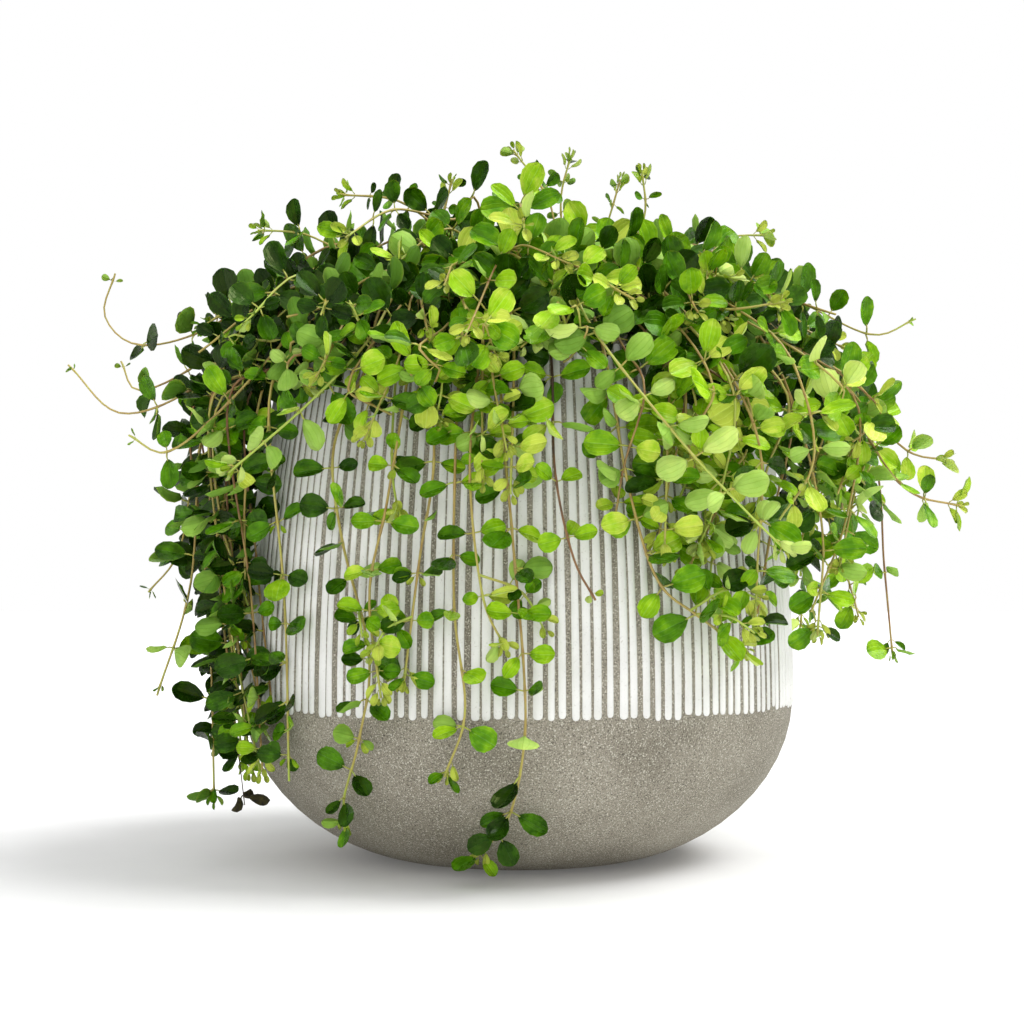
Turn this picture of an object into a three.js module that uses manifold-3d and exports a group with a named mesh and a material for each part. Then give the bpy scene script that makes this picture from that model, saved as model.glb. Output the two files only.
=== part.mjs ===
// Trailing jade in a ribbed stone pot.
// Millimetres, +Z up. The origin is the middle of the pot's flat foot. The front of the pot looks along -Y.
import * as THREE from 'three';
import { mergeVertices } from 'three/addons/utils/BufferGeometryUtils.js';
import Module from 'manifold-3d';

// Driving dimensions
const pot = {
  height: 188.6, // foot to lip
  footRadius: 44,
  wideRadius: 105, // the belly, Ø 210
  wideHeight: 61,
  rimRadius: 90,
  bowlOut: 1.64, // powers of the bowl's rounded lower outline
  bowlUp: 2.01,
  bowlRings: [2, 8, 20, 38], // heights at which the bowl's outline is drawn
  wall: 7,
  floor: 10,
  floorRoom: 3, // of the hollow's floor round the grower's pot
  hollowTurn: { height: 26, inset: 8 }, // where the hollow closes in towards its floor
  lipRound: 1.5,
};
const ribs = {
  count: 72,
  relief: 0.8,
  bottom: 58.5,
  top: 184.5,
  fade: 1.6, // height over which a rib's ends rise
  between: [0.33, 0.66], // shares of the height at which the ribs follow the pot's outline
};
const nursery = {
  height: 188,
  footRadius: 60,
  rimRadius: 79,
  wall: 1.5,
  lip: 1.6,
  lipHeight: 9,
  lipSlope: 1,
};
const soil = { depthBelowRim: 8, gap: 0.3 };
const sides = { pot: 36, nursery: 30, soil: 30, stem: 4 };

// The plant: stems stand in holes in the soil, arch over the rim and hang
const stem = {
  rootRadius: 1.15,
  tipRadius: 0.8,
  taper: 0.7, // power by which it thins
  sink: 10,
  upright: 3, // straight length above the soil
  gap: 0.3,
  twist: 0.35, // turn of the sides at each bend, in radians
};
// How a stem rises from the soil to the first point of its route
const rise = { middleAt: 0.45, overSoil: 20, overRoute: 4, routeLift: 0.6 };
const curve = { tension: 0.5, steps: 12 };
// A stem is drawn straight between bends: its shortest and longest straight part and the least turn in radians
const bend = { shortest: 6, longest: 44, turn: 0.5 };
const planting = { radius: 66, count: 57, widest: 52, turn: 137.508 };
const leaf = {
  length: 12, // blade, without its stalk
  widthShare: 0.9,
  stalk: 2.4,
  thickness: 1.3,
  cup: 0.09, // rise of the edge, as a share of the blade
  middleAbove: 0.42, // where the blade is deepest, above and below, as shares of its length
  middleBelow: 0.38,
  sizes: [0.8, 1.12],
  tipSize: 0.72, // of the leaves at the stem's tip; they reach full size further back
  tipLength: 90,
};
// Random ranges for the way a leaf heads along its stem and faces out, up and aside
const leafTurn = { ahead: [0, 0.7], out: [0.4, 1.1], up: [0.15, 0.8], aside: [-0.5, 0.5] };
const whorl = { pitch: 54, firstAt: 14, leaves: 2, thirdLeaf: 0.3, height: 1.2, ringStep: 0.1, clear: 2.5 };
// Distances kept: the side of a space cell, and from the pots and the floor
const clearance = { cell: 2, leaf: 1.7, stem: 1.4, floor: 1.4, ownStem: 1.2, ownLeaf: 1.9 };
// Where room is tested: along a stem, and at shares of a leaf's length and half width
const samples = {
  stemStart: 2,
  stemStep: 1.5,
  leafAlong: [0.08, 0.29, 0.5, 0.71, 0.92],
  leafAcross: [-0.9, -0.45, 0, 0.45, 0.9],
  nearStalk: 10, // first leaf points, which may come closer to the leaf's own stem
};
// What is tried in turn when something is in the way
const search = {
  lifts: 7,
  liftStep: 2.5,
  turns: 9,
  turnStep: 2.5,
  leafTries: 24,
  sideOrder: [0, 2, 1, 3],
  triesPerSize: 8,
  shrinkStep: 0.12,
};
const seed = 23;

// Hand-set routes. Each point is [azimuth in degrees, distance from the pot's axis, height].
// Azimuth 0 is the right side, 90 the back, 180 the left side and 270 the front.
const routes = {
  front_left: [
    [238, 90, 197], [239, 99, 178], [234, 106, 150], [237, 109, 120],
    [243, 109, 80], [241, 109, 52], [233, 99, 30], [229, 91, 19],
  ],
  front_short: [[247, 90, 197], [246, 99, 178], [247, 107, 145], [249, 110, 126]],
  front_b: [[253, 90, 198], [253, 99, 178], [255, 107, 142], [253, 110, 112], [250, 110, 70]],
  front_c: [
    [260, 90, 198], [259, 100, 178], [259, 108, 140], [259, 109, 95],
    [261, 110, 62], [257, 107, 40],
  ],
  front_f: [[265, 90, 200], [263, 101, 180], [262, 112, 140], [264, 111, 100], [268, 111, 82]],
  front_d: [
    [268, 74, 218], [268, 99, 198], [267, 106, 165], [269, 110, 120],
    [271, 110, 75], [271, 108, 50], [268, 95, 25], [260, 80, 10],
  ],
  front_e: [[274, 88, 204], [276, 104, 178], [276, 114, 140], [279, 114, 112], [283, 112, 98]],
  right_low: [
    [285, 88, 204], [286, 106, 176], [288, 116, 135], [293, 116, 105],
    [301, 115, 93], [313, 114, 81],
  ],
  right_pale: [[280, 84, 212], [283, 114, 184], [294, 130, 148], [302, 136, 128], [309, 139, 114]],
  right_dark: [[297, 86, 214], [302, 116, 186], [307, 131, 150], [310, 124, 108], [311, 121, 88]],
  right_drop: [[318, 92, 210], [322, 116, 176], [328, 125, 126], [330, 122, 85]],
  right_hang: [[350, 78, 220], [350, 116, 190], [349, 135, 152], [350, 139, 110], [350, 142, 77]],
  right_far: [[334, 84, 222], [337, 122, 178], [344, 145, 140], [349, 167, 132]],
  right_far_b: [[10, 86, 226], [5, 124, 190], [4, 151, 158], [3, 169, 152]],
  right_curl: [[20, 86, 232], [11, 116, 216], [5, 140, 202], [4, 157, 208]],
  right_top: [[293, 78, 210], [300, 98, 200], [306, 112, 196], [312, 128, 198]],
  left_curtain: [[218, 86, 208], [215, 106, 182], [213, 114, 140], [210, 112, 105], [207, 111, 84]],
  left_long: [[187, 82, 216], [190, 110, 178], [190, 119, 115], [190, 117, 70], [190, 116, 22]],
  left_long_b: [[203, 82, 212], [204, 108, 172], [203, 117, 115], [201, 112, 66], [198, 106, 22]],
  left_pale: [[242, 84, 206], [242, 106, 185], [235, 121, 163], [226, 138, 140]],
  left_curl: [[180, 88, 222], [184, 122, 200], [184, 146, 195], [184, 158, 206], [184, 154, 222]],
  left_curl_b: [[207, 88, 216], [201, 118, 180], [194, 149, 166], [192, 169, 184]],
  left_curl_c: [[160, 92, 226], [166, 132, 194], [169, 156, 182], [169, 164, 194]],
  left_curl_d: [[222, 92, 206], [211, 122, 166], [204, 138, 150], [201, 150, 156]],
  left_tip: [[170, 92, 218], [174, 124, 164], [176, 133, 118], [176, 146, 100]],
  left_tip_b: [[196, 84, 224], [196, 118, 172], [195, 125, 104], [191, 137, 62]],
  top_sprig_a: [[350, 16, 228], [0, 12, 252], [170, 2, 272]],
  top_sprig_b: [[50, 30, 236], [55, 30, 258], [50, 33, 276]],
  top_sprig_c: [[0, 40, 226], [0, 49, 246], [0, 48, 264]],
  top_sprig_d: [[54, 54, 236], [50, 60, 258], [47, 62, 271]],
  top_sprig_e: [[230, 28, 226], [208, 48, 246], [197, 70, 250]],
  top_sprig_f: [[162, 34, 236], [158, 28, 263]],
  top_left: [[199, 66, 222], [193, 84, 234], [191, 101, 235]],
  top_right: [[8, 64, 224], [7, 82, 239], [6, 99, 241]],
};
// Routes made by rule: low shoots that fill the mound, and stems that hang over the back of the rim
const shoots = {
  count: 9, firstAzimuth: 250, drift: 9, start: [12, 40], reach: [84, 108], top: [218, 240], foot: 6, fall: 16,
};
const hanging = {
  count: 11,
  firstAzimuth: 26,
  sweep: 128,
  drift: 9,
  rim: 82,
  reach: [122, 152],
  crest: [212, 234],
  shoulder: 28, // below the crest
  widestAt: 158,
  end: [34, 125],
  inset: 14, // of the shoulder and the end from the widest reach
  lowInset: 8,
};

// A number from 0 to 1 that depends only on the seed and the keys
function draw(...keys) {
  let hash = seed;
  for (const key of keys) {
    hash = Math.imul(hash ^ (key + 0x9e3779b9), 0x85ebca6b);
    hash ^= hash >>> 13;
    hash = Math.imul(hash, 0xc2b2ae35);
    hash ^= hash >>> 16;
  }
  return (hash >>> 0) / 4294967296;
}

function between(low, high, ...keys) {
  return low + (high - low) * draw(...keys);
}

function polar([azimuth, distance, height]) {
  const turn = THREE.MathUtils.degToRad(azimuth);
  return new THREE.Vector3(distance * Math.cos(turn), distance * Math.sin(turn), height);
}

// The pot's outer radius at a height: a rounded bowl below the belly, a gentle taper above it
function potRadius(height) {
  if (height >= pot.wideHeight) {
    const share = (height - pot.wideHeight) / (pot.height - pot.wideHeight);
    return pot.wideRadius - (pot.wideRadius - pot.rimRadius) * Math.min(share, 1) ** 2;
  }
  const angle = Math.acos((1 - Math.max(height, 0) / pot.wideHeight) ** (pot.bowlUp / 2));
  return pot.footRadius + (pot.wideRadius - pot.footRadius) * Math.sin(angle) ** (2 / pot.bowlOut);
}

// Closed meshes
function ring(count, radius, height) {
  const points = [];
  for (let i = 0; i < count; i += 1) {
    const turn = (i / count) * 2 * Math.PI;
    const reach = typeof radius === 'function' ? radius(i) : radius;
    points.push([reach * Math.cos(turn), reach * Math.sin(turn), height]);
  }
  return points;
}

// Joins rings of points, which may differ in count, and closes both ends with a fan
function shellFromRings(rings) {
  const vertices = [];
  const triangles = [];
  const starts = rings.map((points) => {
    const start = vertices.length;
    vertices.push(...points);
    return start;
  });
  for (let level = 0; level + 1 < rings.length; level += 1) {
    const lower = rings[level].length;
    const upper = rings[level + 1].length;
    let a = 0;
    let b = 0;
    while (a < lower || b < upper) {
      const from = starts[level] + (a % lower);
      const to = starts[level + 1] + (b % upper);
      if (b === upper || (a < lower && (a + 1) * upper <= (b + 1) * lower)) {
        triangles.push([from, starts[level] + ((a + 1) % lower), to]);
        a += 1;
      } else {
        triangles.push([from, starts[level + 1] + ((b + 1) % upper), to]);
        b += 1;
      }
    }
  }
  const last = rings.length - 1;
  for (let i = 1; i + 1 < rings[0].length; i += 1) {
    triangles.push([starts[0], starts[0] + i + 1, starts[0] + i]);
  }
  for (let i = 1; i + 1 < rings[last].length; i += 1) {
    triangles.push([starts[last], starts[last] + i, starts[last] + i + 1]);
  }
  return { vertices, triangles };
}

const wasm = await Module();
wasm.setup();

function solidOf({ vertices, triangles }) {
  return new wasm.Manifold(new wasm.Mesh({
    numProp: 3,
    vertProperties: new Float32Array(vertices.flat()),
    triVerts: new Uint32Array(triangles.flat()),
  }));
}

function geometryOf(solid) {
  const mesh = solid.getMesh();
  const geometry = new THREE.BufferGeometry();
  geometry.setAttribute('position', new THREE.BufferAttribute(new Float32Array(mesh.vertProperties), 3));
  geometry.setIndex(new THREE.BufferAttribute(new Uint32Array(mesh.triVerts), 1));
  return mergeVertices(geometry, 1e-4);
}

function material(colour, roughness) {
  return new THREE.MeshStandardMaterial({ color: colour, roughness, metalness: 0 });
}

const part = new THREE.Group();

function addPiece(name, geometry, finish) {
  const mesh = new THREE.Mesh(geometry, finish);
  mesh.name = name;
  part.add(mesh);
}

// The pot: bare bowl below, raised ribs above, a plain lip and a hollow inside
function makePot() {
  const crest = (i, relief) => (i % 2 ? 0 : relief);
  const ribbed = (height, relief) => ring(ribs.count * 2, (i) => potRadius(height) + crest(i, relief), height);
  const plain = (height, inset = 0) => ring(sides.pot, potRadius(height) - inset, height);
  const rings = [plain(0)];
  for (const height of pot.bowlRings) {
    rings.push(plain(height));
  }
  rings.push(ribbed(ribs.bottom, 0), ribbed(ribs.bottom + ribs.fade, ribs.relief));
  for (const share of ribs.between) {
    rings.push(ribbed(THREE.MathUtils.lerp(ribs.bottom, ribs.top, share), ribs.relief));
  }
  rings.push(ribbed(ribs.top - ribs.fade, ribs.relief), ribbed(ribs.top, 0));
  rings.push(plain(pot.height - pot.lipRound), plain(pot.height, pot.lipRound));
  rings.push(plain(pot.height, pot.wall - pot.lipRound), plain(pot.height - pot.lipRound, pot.wall));
  rings.push(plain(pot.wideHeight, pot.wall), plain(pot.hollowTurn.height, pot.hollowTurn.inset));
  rings.push(ring(sides.pot, nursery.footRadius + pot.floorRoom, pot.floor));
  addPiece('pot', geometryOf(solidOf(shellFromRings(rings))), material(0x9a9588, 0.85));
}

// The grower's pot: a tall thin black cup with a turned lip that stands on the pot's floor
const nurseryFoot = pot.floor + stem.gap;
const nurseryTop = nurseryFoot + nursery.height;
const soilTop = nurseryTop - soil.depthBelowRim;

function nurseryRadius(height) {
  return THREE.MathUtils.mapLinear(height, nurseryFoot, nurseryTop, nursery.footRadius, nursery.rimRadius);
}

function makeNurseryPot() {
  const wall = (height, offset) => ring(sides.nursery, nurseryRadius(height) + offset, height);
  const lipFoot = nurseryTop - nursery.lipHeight;
  const inner = nurseryFoot + nursery.wall;
  const rings = [wall(nurseryFoot, 0), wall(lipFoot, 0), wall(lipFoot + nursery.lipSlope, nursery.lip)];
  rings.push(wall(nurseryTop, nursery.lip), wall(nurseryTop, -nursery.wall), wall(inner, -nursery.wall));
  addPiece('nursery_pot', geometryOf(solidOf(shellFromRings(rings))), material(0x1c1c1b, 0.5));
}

// The soil fills the grower's pot, with a plain hole for each stem
function makeSoil(plantings) {
  const offset = -nursery.wall - soil.gap;
  const foot = nurseryFoot + nursery.wall + soil.gap;
  const wall = (height) => ring(sides.soil, nurseryRadius(height) + offset, height);
  let body = solidOf(shellFromRings([wall(foot), wall(soilTop)]));
  const reach = stem.rootRadius + stem.gap * Math.SQRT2;
  const bottom = soilTop - stem.sink - stem.gap;
  for (const { x, y } of plantings) {
    const hole = [bottom, soilTop + 1].map((height) => (
      ring(sides.stem, reach, height).map((point) => [point[0] + x, point[1] + y, height])
    ));
    body = body.subtract(solidOf(shellFromRings(hole)));
  }
  addPiece('soil', geometryOf(body), material(0x3a2c20, 1));
}

// Space taken by the plant, kept as small cells that each name the trail in them
const taken = new Map();

function cellsAround(point, reach) {
  const [x, y, z] = [point.x, point.y, point.z].map((value) => Math.floor(value / clearance.cell));
  const keys = [];
  for (let i = -reach; i <= reach; i += 1) {
    for (let j = -reach; j <= reach; j += 1) {
      for (let k = -reach; k <= reach; k += 1) {
        keys.push(((x + i + 500) * 1000 + y + j + 500) * 1000 + z + k + 500);
      }
    }
  }
  return keys;
}

function isFree(points, trail) {
  return points.every((point) => cellsAround(point, 1).every((key) => (taken.get(key) ?? trail) === trail));
}

function take(points, trail) {
  for (const point of points) {
    const [key] = cellsAround(point, 0);
    taken.set(key, trail);
  }
}

// The outer radius of the pot, and above its rim of the grower's pot
function potsRadius(height) {
  if (height > nurseryTop) {
    return 0;
  }
  return height > pot.height ? nursery.rimRadius + nursery.lip : potRadius(height) + ribs.relief;
}

// Whether a point keeps its distance from the pots, the soil and the floor
function clearOfPots(point, margin) {
  const distance = Math.hypot(point.x, point.y);
  if (distance < nursery.rimRadius - nursery.wall - margin && point.z > soilTop + margin) {
    return true;
  }
  const widest = Math.max(...[-margin, 0, margin].map((step) => potsRadius(point.z + step)));
  return distance > (widest && widest + margin) && point.z > clearance.floor;
}

// Planting places on a sunflower spiral; each trail takes the free one nearest to where it is heading
const places = [];
for (let i = 0; i < planting.count; i += 1) {
  const reach = planting.radius * Math.sqrt((i + 0.5) / planting.count);
  places.push(polar([i * planting.turn, reach, soilTop]));
}

function takePlace(toward) {
  let best = 0;
  const goal = new THREE.Vector3(toward.x, toward.y, soilTop);
  const flat = Math.hypot(goal.x, goal.y);
  const shrink = Math.min(1, planting.widest / Math.max(flat, 1));
  goal.x *= shrink;
  goal.y *= shrink;
  for (let i = 1; i < places.length; i += 1) {
    if (places[i].distanceTo(goal) < places[best].distanceTo(goal)) {
      best = i;
    }
  }
  return places.splice(best, 1)[0];
}

// A straight foot in the soil, then a smooth path, as closely spaced points with their distance from the root
function pathThrough(points) {
  const line = new THREE.CatmullRomCurve3(points.slice(1), false, 'catmullrom', curve.tension);
  const path = [points[0], ...line.getPoints((points.length - 2) * curve.steps)];
  let run = 0;
  return path.map((point, i) => {
    run += i ? point.distanceTo(path[i - 1]) : 0;
    return { point, run };
  });
}

function risingPath(place, through, lift) {
  const first = through[0];
  const height = Math.max(soilTop + rise.overSoil, first.z + rise.overRoute) + lift;
  const points = [
    place.clone().setZ(soilTop - stem.sink),
    place.clone().setZ(soilTop + stem.upright),
    place.clone().lerp(first, rise.middleAt).setZ(height),
    first.clone().setZ(first.z + lift * rise.routeLift),
    ...through.slice(1),
  ];
  return pathThrough(points);
}

function pointAt(path, run) {
  const next = Math.max(1, path.findIndex((entry) => entry.run >= run));
  const before = path[next - 1];
  const share = (run - before.run) / (path[next].run - before.run);
  return before.point.clone().lerp(path[next].point, share);
}

function stemSamples(path) {
  const points = [];
  const length = path[path.length - 1].run;
  for (let run = stem.sink + samples.stemStart; run < length; run += samples.stemStep) {
    points.push(pointAt(path, run));
  }
  return points;
}

// Tries the route higher, then turned a little about the pot, until nothing is in its way
function findPath(trail, place, points) {
  for (let attempt = 0; attempt < search.lifts * search.turns; attempt += 1) {
    const step = Math.floor(attempt / search.lifts);
    const shift = (step % 2 ? 1 : -1) * Math.ceil(step / 2) * search.turnStep;
    const through = points.map(([azimuth, distance, height]) => polar([azimuth + shift, distance, height]));
    const path = risingPath(place, through, (attempt % search.lifts) * search.liftStep);
    const spots = stemSamples(path);
    if (spots.every((point) => clearOfPots(point, clearance.stem)) && isFree(spots, trail)) {
      take(spots, trail);
      return path;
    }
  }
  return null;
}

function stemRadius(run, length) {
  return THREE.MathUtils.lerp(stem.rootRadius, stem.tipRadius, (run / length) ** stem.taper);
}

// The stem's bones: points along the path wherever it bends, each with its run and a slowly turning frame
function bonesOf(path) {
  const length = path[path.length - 1].run;
  const picked = [path[0], path[1]];
  let heading = new THREE.Vector3(0, 0, 1);
  for (let i = 2; i + 1 < path.length; i += 1) {
    const now = path[i + 1].point.clone().sub(path[i].point).normalize();
    const gone = path[i].run - picked[picked.length - 1].run;
    const turned = now.angleTo(heading) > bend.turn || gone > bend.longest;
    if (turned && Math.min(gone, length - path[i].run) > bend.shortest) {
      picked.push(path[i]);
      heading = now;
    }
  }
  picked.push(path[path.length - 1]);
  let across = new THREE.Vector3(1, 0, 0);
  let run = 0;
  return picked.map(({ point }, i) => {
    const before = picked[Math.max(i - 1, 0)].point;
    const after = picked[Math.min(i + 1, picked.length - 1)].point;
    run += point.distanceTo(before);
    const along = i === 0 ? new THREE.Vector3(0, 0, 1) : after.clone().sub(before).normalize();
    across = across.clone().addScaledVector(along, -across.dot(along)).normalize();
    across.applyAxisAngle(along, i > 1 ? stem.twist : 0);
    return { point, run, across, other: along.clone().cross(across) };
  });
}

// A place on the bones at a run, with its frame
function alongBones(bones, run) {
  const next = Math.max(1, bones.findIndex((bone) => bone.run >= run));
  const [from, to] = [bones[next - 1], bones[next]];
  const share = (run - from.run) / (to.run - from.run);
  return {
    point: from.point.clone().lerp(to.point, share),
    across: from.across.clone().lerp(to.across, share).normalize(),
    other: from.other.clone().lerp(to.other, share).normalize(),
    ahead: to.point.clone().sub(from.point).normalize(),
  };
}

function sideDirection({ across, other }, side) {
  const turn = (side / sides.stem) * 2 * Math.PI;
  return across.clone().multiplyScalar(Math.cos(turn)).addScaledVector(other, Math.sin(turn));
}

// A leaf's own frame: a root on one side of the stem, a heading, a face direction and a size
function leafPlace(bones, run, side, size, keys) {
  const here = alongBones(bones, run);
  const outOfStem = sideDirection(here, side + 0.5);
  const inner = stemRadius(run, bones[bones.length - 1].run) * Math.cos(Math.PI / sides.stem);
  const root = here.point.clone().addScaledVector(outOfStem, inner);
  const heading = outOfStem.addScaledVector(here.ahead, between(...leafTurn.ahead, ...keys, 3)).normalize();
  const face = new THREE.Vector3(root.x, root.y, 0).normalize();
  face.multiplyScalar(between(...leafTurn.out, ...keys, 4));
  face.z += between(...leafTurn.up, ...keys, 5);
  face.x += between(...leafTurn.aside, ...keys, 6);
  face.y += between(...leafTurn.aside, ...keys, 7);
  face.addScaledVector(heading, -face.dot(heading)).normalize();
  return { root, heading, face, width: heading.clone().cross(face), run, side, size };
}

function onLeaf(place, across, along, up) {
  const point = place.root.clone().addScaledVector(place.width, across);
  return point.addScaledVector(place.heading, along).addScaledVector(place.face, up);
}

// The blade's outline: share of the half width at each share of the length, from the stalk to below the tip
const outline = [[0.05, 0.36], [0.42, 1], [0.82, 0.7]];

// Adds a leaf that grows out of the open four-cornered side of a stem
function growLeaf(vertices, triangles, corners, place) {
  const blade = leaf.length * place.size;
  const half = (blade * leaf.widthShare) / 2;
  const edgeRise = blade * leaf.cup;
  const add = (across, along, up) => vertices.push(onLeaf(place, across, along, up).toArray()) - 1;
  const addEdge = (side) => outline.map(([share, wide]) => (
    add(side * half * wide, leaf.stalk + blade * share, edgeRise * wide ** 2)
  ));
  const right = addEdge(1);
  const left = addEdge(-1);
  const edge = [...right, add(0, leaf.stalk + blade, 0), ...left.reverse()];
  const top = add(0, leaf.stalk + blade * leaf.middleAbove, 0);
  const bottom = add(0, leaf.stalk + blade * leaf.middleBelow, -leaf.thickness);
  for (let i = 0; i + 1 < edge.length; i += 1) {
    triangles.push([top, edge[i], edge[i + 1]], [bottom, edge[i + 1], edge[i]]);
  }
  // The stalk joins the side's corners to the blade, turned to the nearest match
  const ends = [top, edge[0], bottom, edge[edge.length - 1]];
  const towards = [place.face, place.width, place.face.clone().negate(), place.width.clone().negate()];
  const centre = place.root.toArray();
  const match = (turn) => corners.reduce((sum, corner, i) => {
    const offset = new THREE.Vector3(...vertices[corner]).sub(new THREE.Vector3(...centre));
    return sum + offset.dot(towards[(i + turn) % 4]);
  }, 0);
  const best = [0, 1, 2, 3].reduce((chosen, turn) => (match(turn) > match(chosen) ? turn : chosen));
  for (let i = 0; i < 4; i += 1) {
    const next = (i + 1) % 4;
    const [near, far] = [ends[(i + best) % 4], ends[(next + best) % 4]];
    triangles.push([corners[i], corners[next], near], [corners[next], far, near]);
  }
}

// A four-sided tube along the bones. Leaves grow out of its sides, between two close rings at each whorl
function leafyStem(bones, leaves) {
  const length = bones[bones.length - 1].run;
  const rings = bones.map((bone) => ({ run: bone.run, frame: bone }));
  for (const run of new Set(leaves.map((place) => place.run))) {
    const frame = alongBones(bones, run);
    const [below, above] = [-1, 1].map((sign) => alongBones(bones, run + (sign * whorl.height) / 2).point);
    rings.push({ run: run - whorl.ringStep, frame: { ...frame, point: below }, whorlRun: run });
    rings.push({ run: run + whorl.ringStep, frame: { ...frame, point: above } });
  }
  rings.sort((a, b) => a.run - b.run);
  const vertices = [];
  const triangles = [];
  rings.forEach(({ run, frame }) => {
    for (let side = 0; side < sides.stem; side += 1) {
      const corner = frame.point.clone().addScaledVector(sideDirection(frame, side), stemRadius(run, length));
      vertices.push(corner.toArray());
    }
  });
  rings.slice(0, -1).forEach(({ whorlRun }, level) => {
    for (let side = 0; side < sides.stem; side += 1) {
      const next = (side + 1) % sides.stem;
      const start = level * sides.stem;
      const corners = [start + side, start + next, start + sides.stem + next, start + sides.stem + side];
      const place = leaves.find((one) => one.run === whorlRun && one.side === side);
      if (place) {
        growLeaf(vertices, triangles, corners, place);
      } else {
        triangles.push([corners[0], corners[1], corners[3]], [corners[1], corners[2], corners[3]]);
      }
    }
  });
  const last = (rings.length - 1) * sides.stem;
  triangles.push([0, 2, 1], [0, 3, 2], [last, last + 1, last + 2], [last, last + 2, last + 3]);
  return { vertices, triangles };
}

function leafSamples(place) {
  const blade = leaf.length * place.size;
  const half = (blade * leaf.widthShare) / 2;
  const points = [];
  for (const along of samples.leafAlong) {
    const wide = Math.sqrt(Math.max(0, 1 - (2 * along - 1) ** 2));
    for (const across of samples.leafAcross) {
      points.push(onLeaf(place, half * wide * across, leaf.stalk + blade * along, 0));
    }
  }
  return points;
}

// Whether a leaf keeps off its own stem and the leaves that its stem already has
function clearOfOwn(points, own) {
  return points.every((point, i) => own.every(({ spot, onStem }) => (
    spot.distanceTo(point) > (onStem && i < samples.nearStalk ? clearance.ownStem : clearance.ownLeaf)
  )));
}

// Tries a leaf on each free side of the stem, at a few tilts, then smaller, until it clears what is round it
function findLeaf(bones, run, trail, index, firstSide, size, own) {
  for (let attempt = 0; attempt < search.leafTries; attempt += 1) {
    const side = (firstSide + search.sideOrder[attempt % sides.stem]) % sides.stem;
    const shrink = 1 - search.shrinkStep * Math.floor(attempt / search.triesPerSize);
    const place = leafPlace(bones, run, side, size * shrink, [trail, index, attempt]);
    const spots = leafSamples(place);
    const used = own.some((entry) => entry.run === run && entry.side === side);
    if (!used && spots.every((point) => clearOfPots(point, clearance.leaf))
      && isFree(spots, trail) && clearOfOwn(spots, own)) {
      take(spots, trail);
      own.push(...spots.map((spot) => ({ spot, run, side })));
      return place;
    }
  }
  return null;
}

// Distances along the stem at which leaves grow, from the tip back towards the root, clear of the bends
function whorlRuns(bones) {
  const length = bones[bones.length - 1].run;
  const runs = [];
  for (let wished = length - whorl.clear; wished > stem.sink + whorl.firstAt; wished -= whorl.pitch) {
    const near = bones.find((bone) => Math.abs(bone.run - wished) < whorl.clear);
    runs.unshift(near ? near.run - whorl.clear : wished);
  }
  return runs;
}

function leavesOf(bones, trail) {
  const length = bones[bones.length - 1].run;
  const own = [];
  for (let run = 0; run < length; run += samples.stemStep) {
    own.push({ spot: alongBones(bones, run).point, onStem: true });
  }
  const found = [];
  whorlRuns(bones).forEach((run, i) => {
    const firstSide = Math.floor(draw(trail, i, 1) * sides.stem);
    const count = whorl.leaves + (draw(trail, i, 8) < whorl.thirdLeaf ? 1 : 0);
    for (let j = 0; j < count; j += 1) {
      const nearTip = Math.min(1, leaf.tipSize + (length - run) / leaf.tipLength);
      const size = between(...leaf.sizes, trail, i * 10 + j, 2) * nearTip;
      const place = findLeaf(bones, run, trail, i * 10 + j, firstSide + 2 * j, size, own);
      if (place) {
        found.push(place);
      }
    }
  });
  return found;
}

// Low shoots that fill the mound all round
function shootRoute(index) {
  const azimuth = (shoots.firstAzimuth + index * planting.turn) % 360;
  const drift = between(-shoots.drift, shoots.drift, index, 21);
  const start = between(...shoots.start, index, 22);
  const top = between(...shoots.top, index, 23);
  const reach = between(...shoots.reach, index, 24);
  return [
    [azimuth, start, top - shoots.foot],
    [azimuth + drift, (start + reach) / 2, top],
    [azimuth + 2 * drift, reach, top - shoots.fall],
  ];
}

// Stems that hang over the back of the rim, which the hand-set routes leave free
function hangingRoute(index) {
  const azimuth = hanging.firstAzimuth + (index * hanging.sweep) / (hanging.count - 1);
  const drift = between(-hanging.drift, hanging.drift, index, 31);
  const reach = between(...hanging.reach, index, 32);
  const crest = between(...hanging.crest, index, 33);
  const end = between(...hanging.end, index, 34);
  return [
    [azimuth, hanging.rim, crest],
    [azimuth + drift * 0.5, reach - hanging.inset, crest - hanging.shoulder],
    [azimuth + drift, reach, hanging.widestAt],
    [azimuth + drift, reach - hanging.lowInset, (hanging.widestAt + end) / 2],
    [azimuth + drift * 0.6, reach - hanging.inset, end],
  ];
}

const trails = Object.entries(routes).map(([name, points]) => ({ name: `trail_${name}`, points }));
for (let index = 0; index < hanging.count; index += 1) {
  trails.push({ name: `trail_back_${index + 1}`, points: hangingRoute(index) });
}
for (let index = 0; index < shoots.count; index += 1) {
  trails.push({ name: `trail_mound_${index + 1}`, points: shootRoute(index) });
}

// Stems first, so that every leaf can keep clear of every stem
const grown = [];
trails.forEach(({ name, points }, trail) => {
  const place = takePlace(polar(points[0]));
  const path = findPath(trail, place, points);
  if (path) {
    grown.push({ name, trail, place, path });
  } else {
    console.error('no free path for', name);
  }
});

makePot();
makeNurseryPot();
makeSoil(grown.map(({ place }) => place));
const leafFinish = material(0x4d8a1a, 0.4);
for (const { name, trail, path } of grown) {
  const bones = bonesOf(path);
  addPiece(name, geometryOf(solidOf(leafyStem(bones, leavesOf(bones, trail)))), leafFinish);
}

export default part;
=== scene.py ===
# Trailing jade in a ribbed stone pot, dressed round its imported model. Metres, +Z up, the front looks along -Y.
import math
import bpy
import numpy as np
from mathutils import Matrix, Vector


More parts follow.
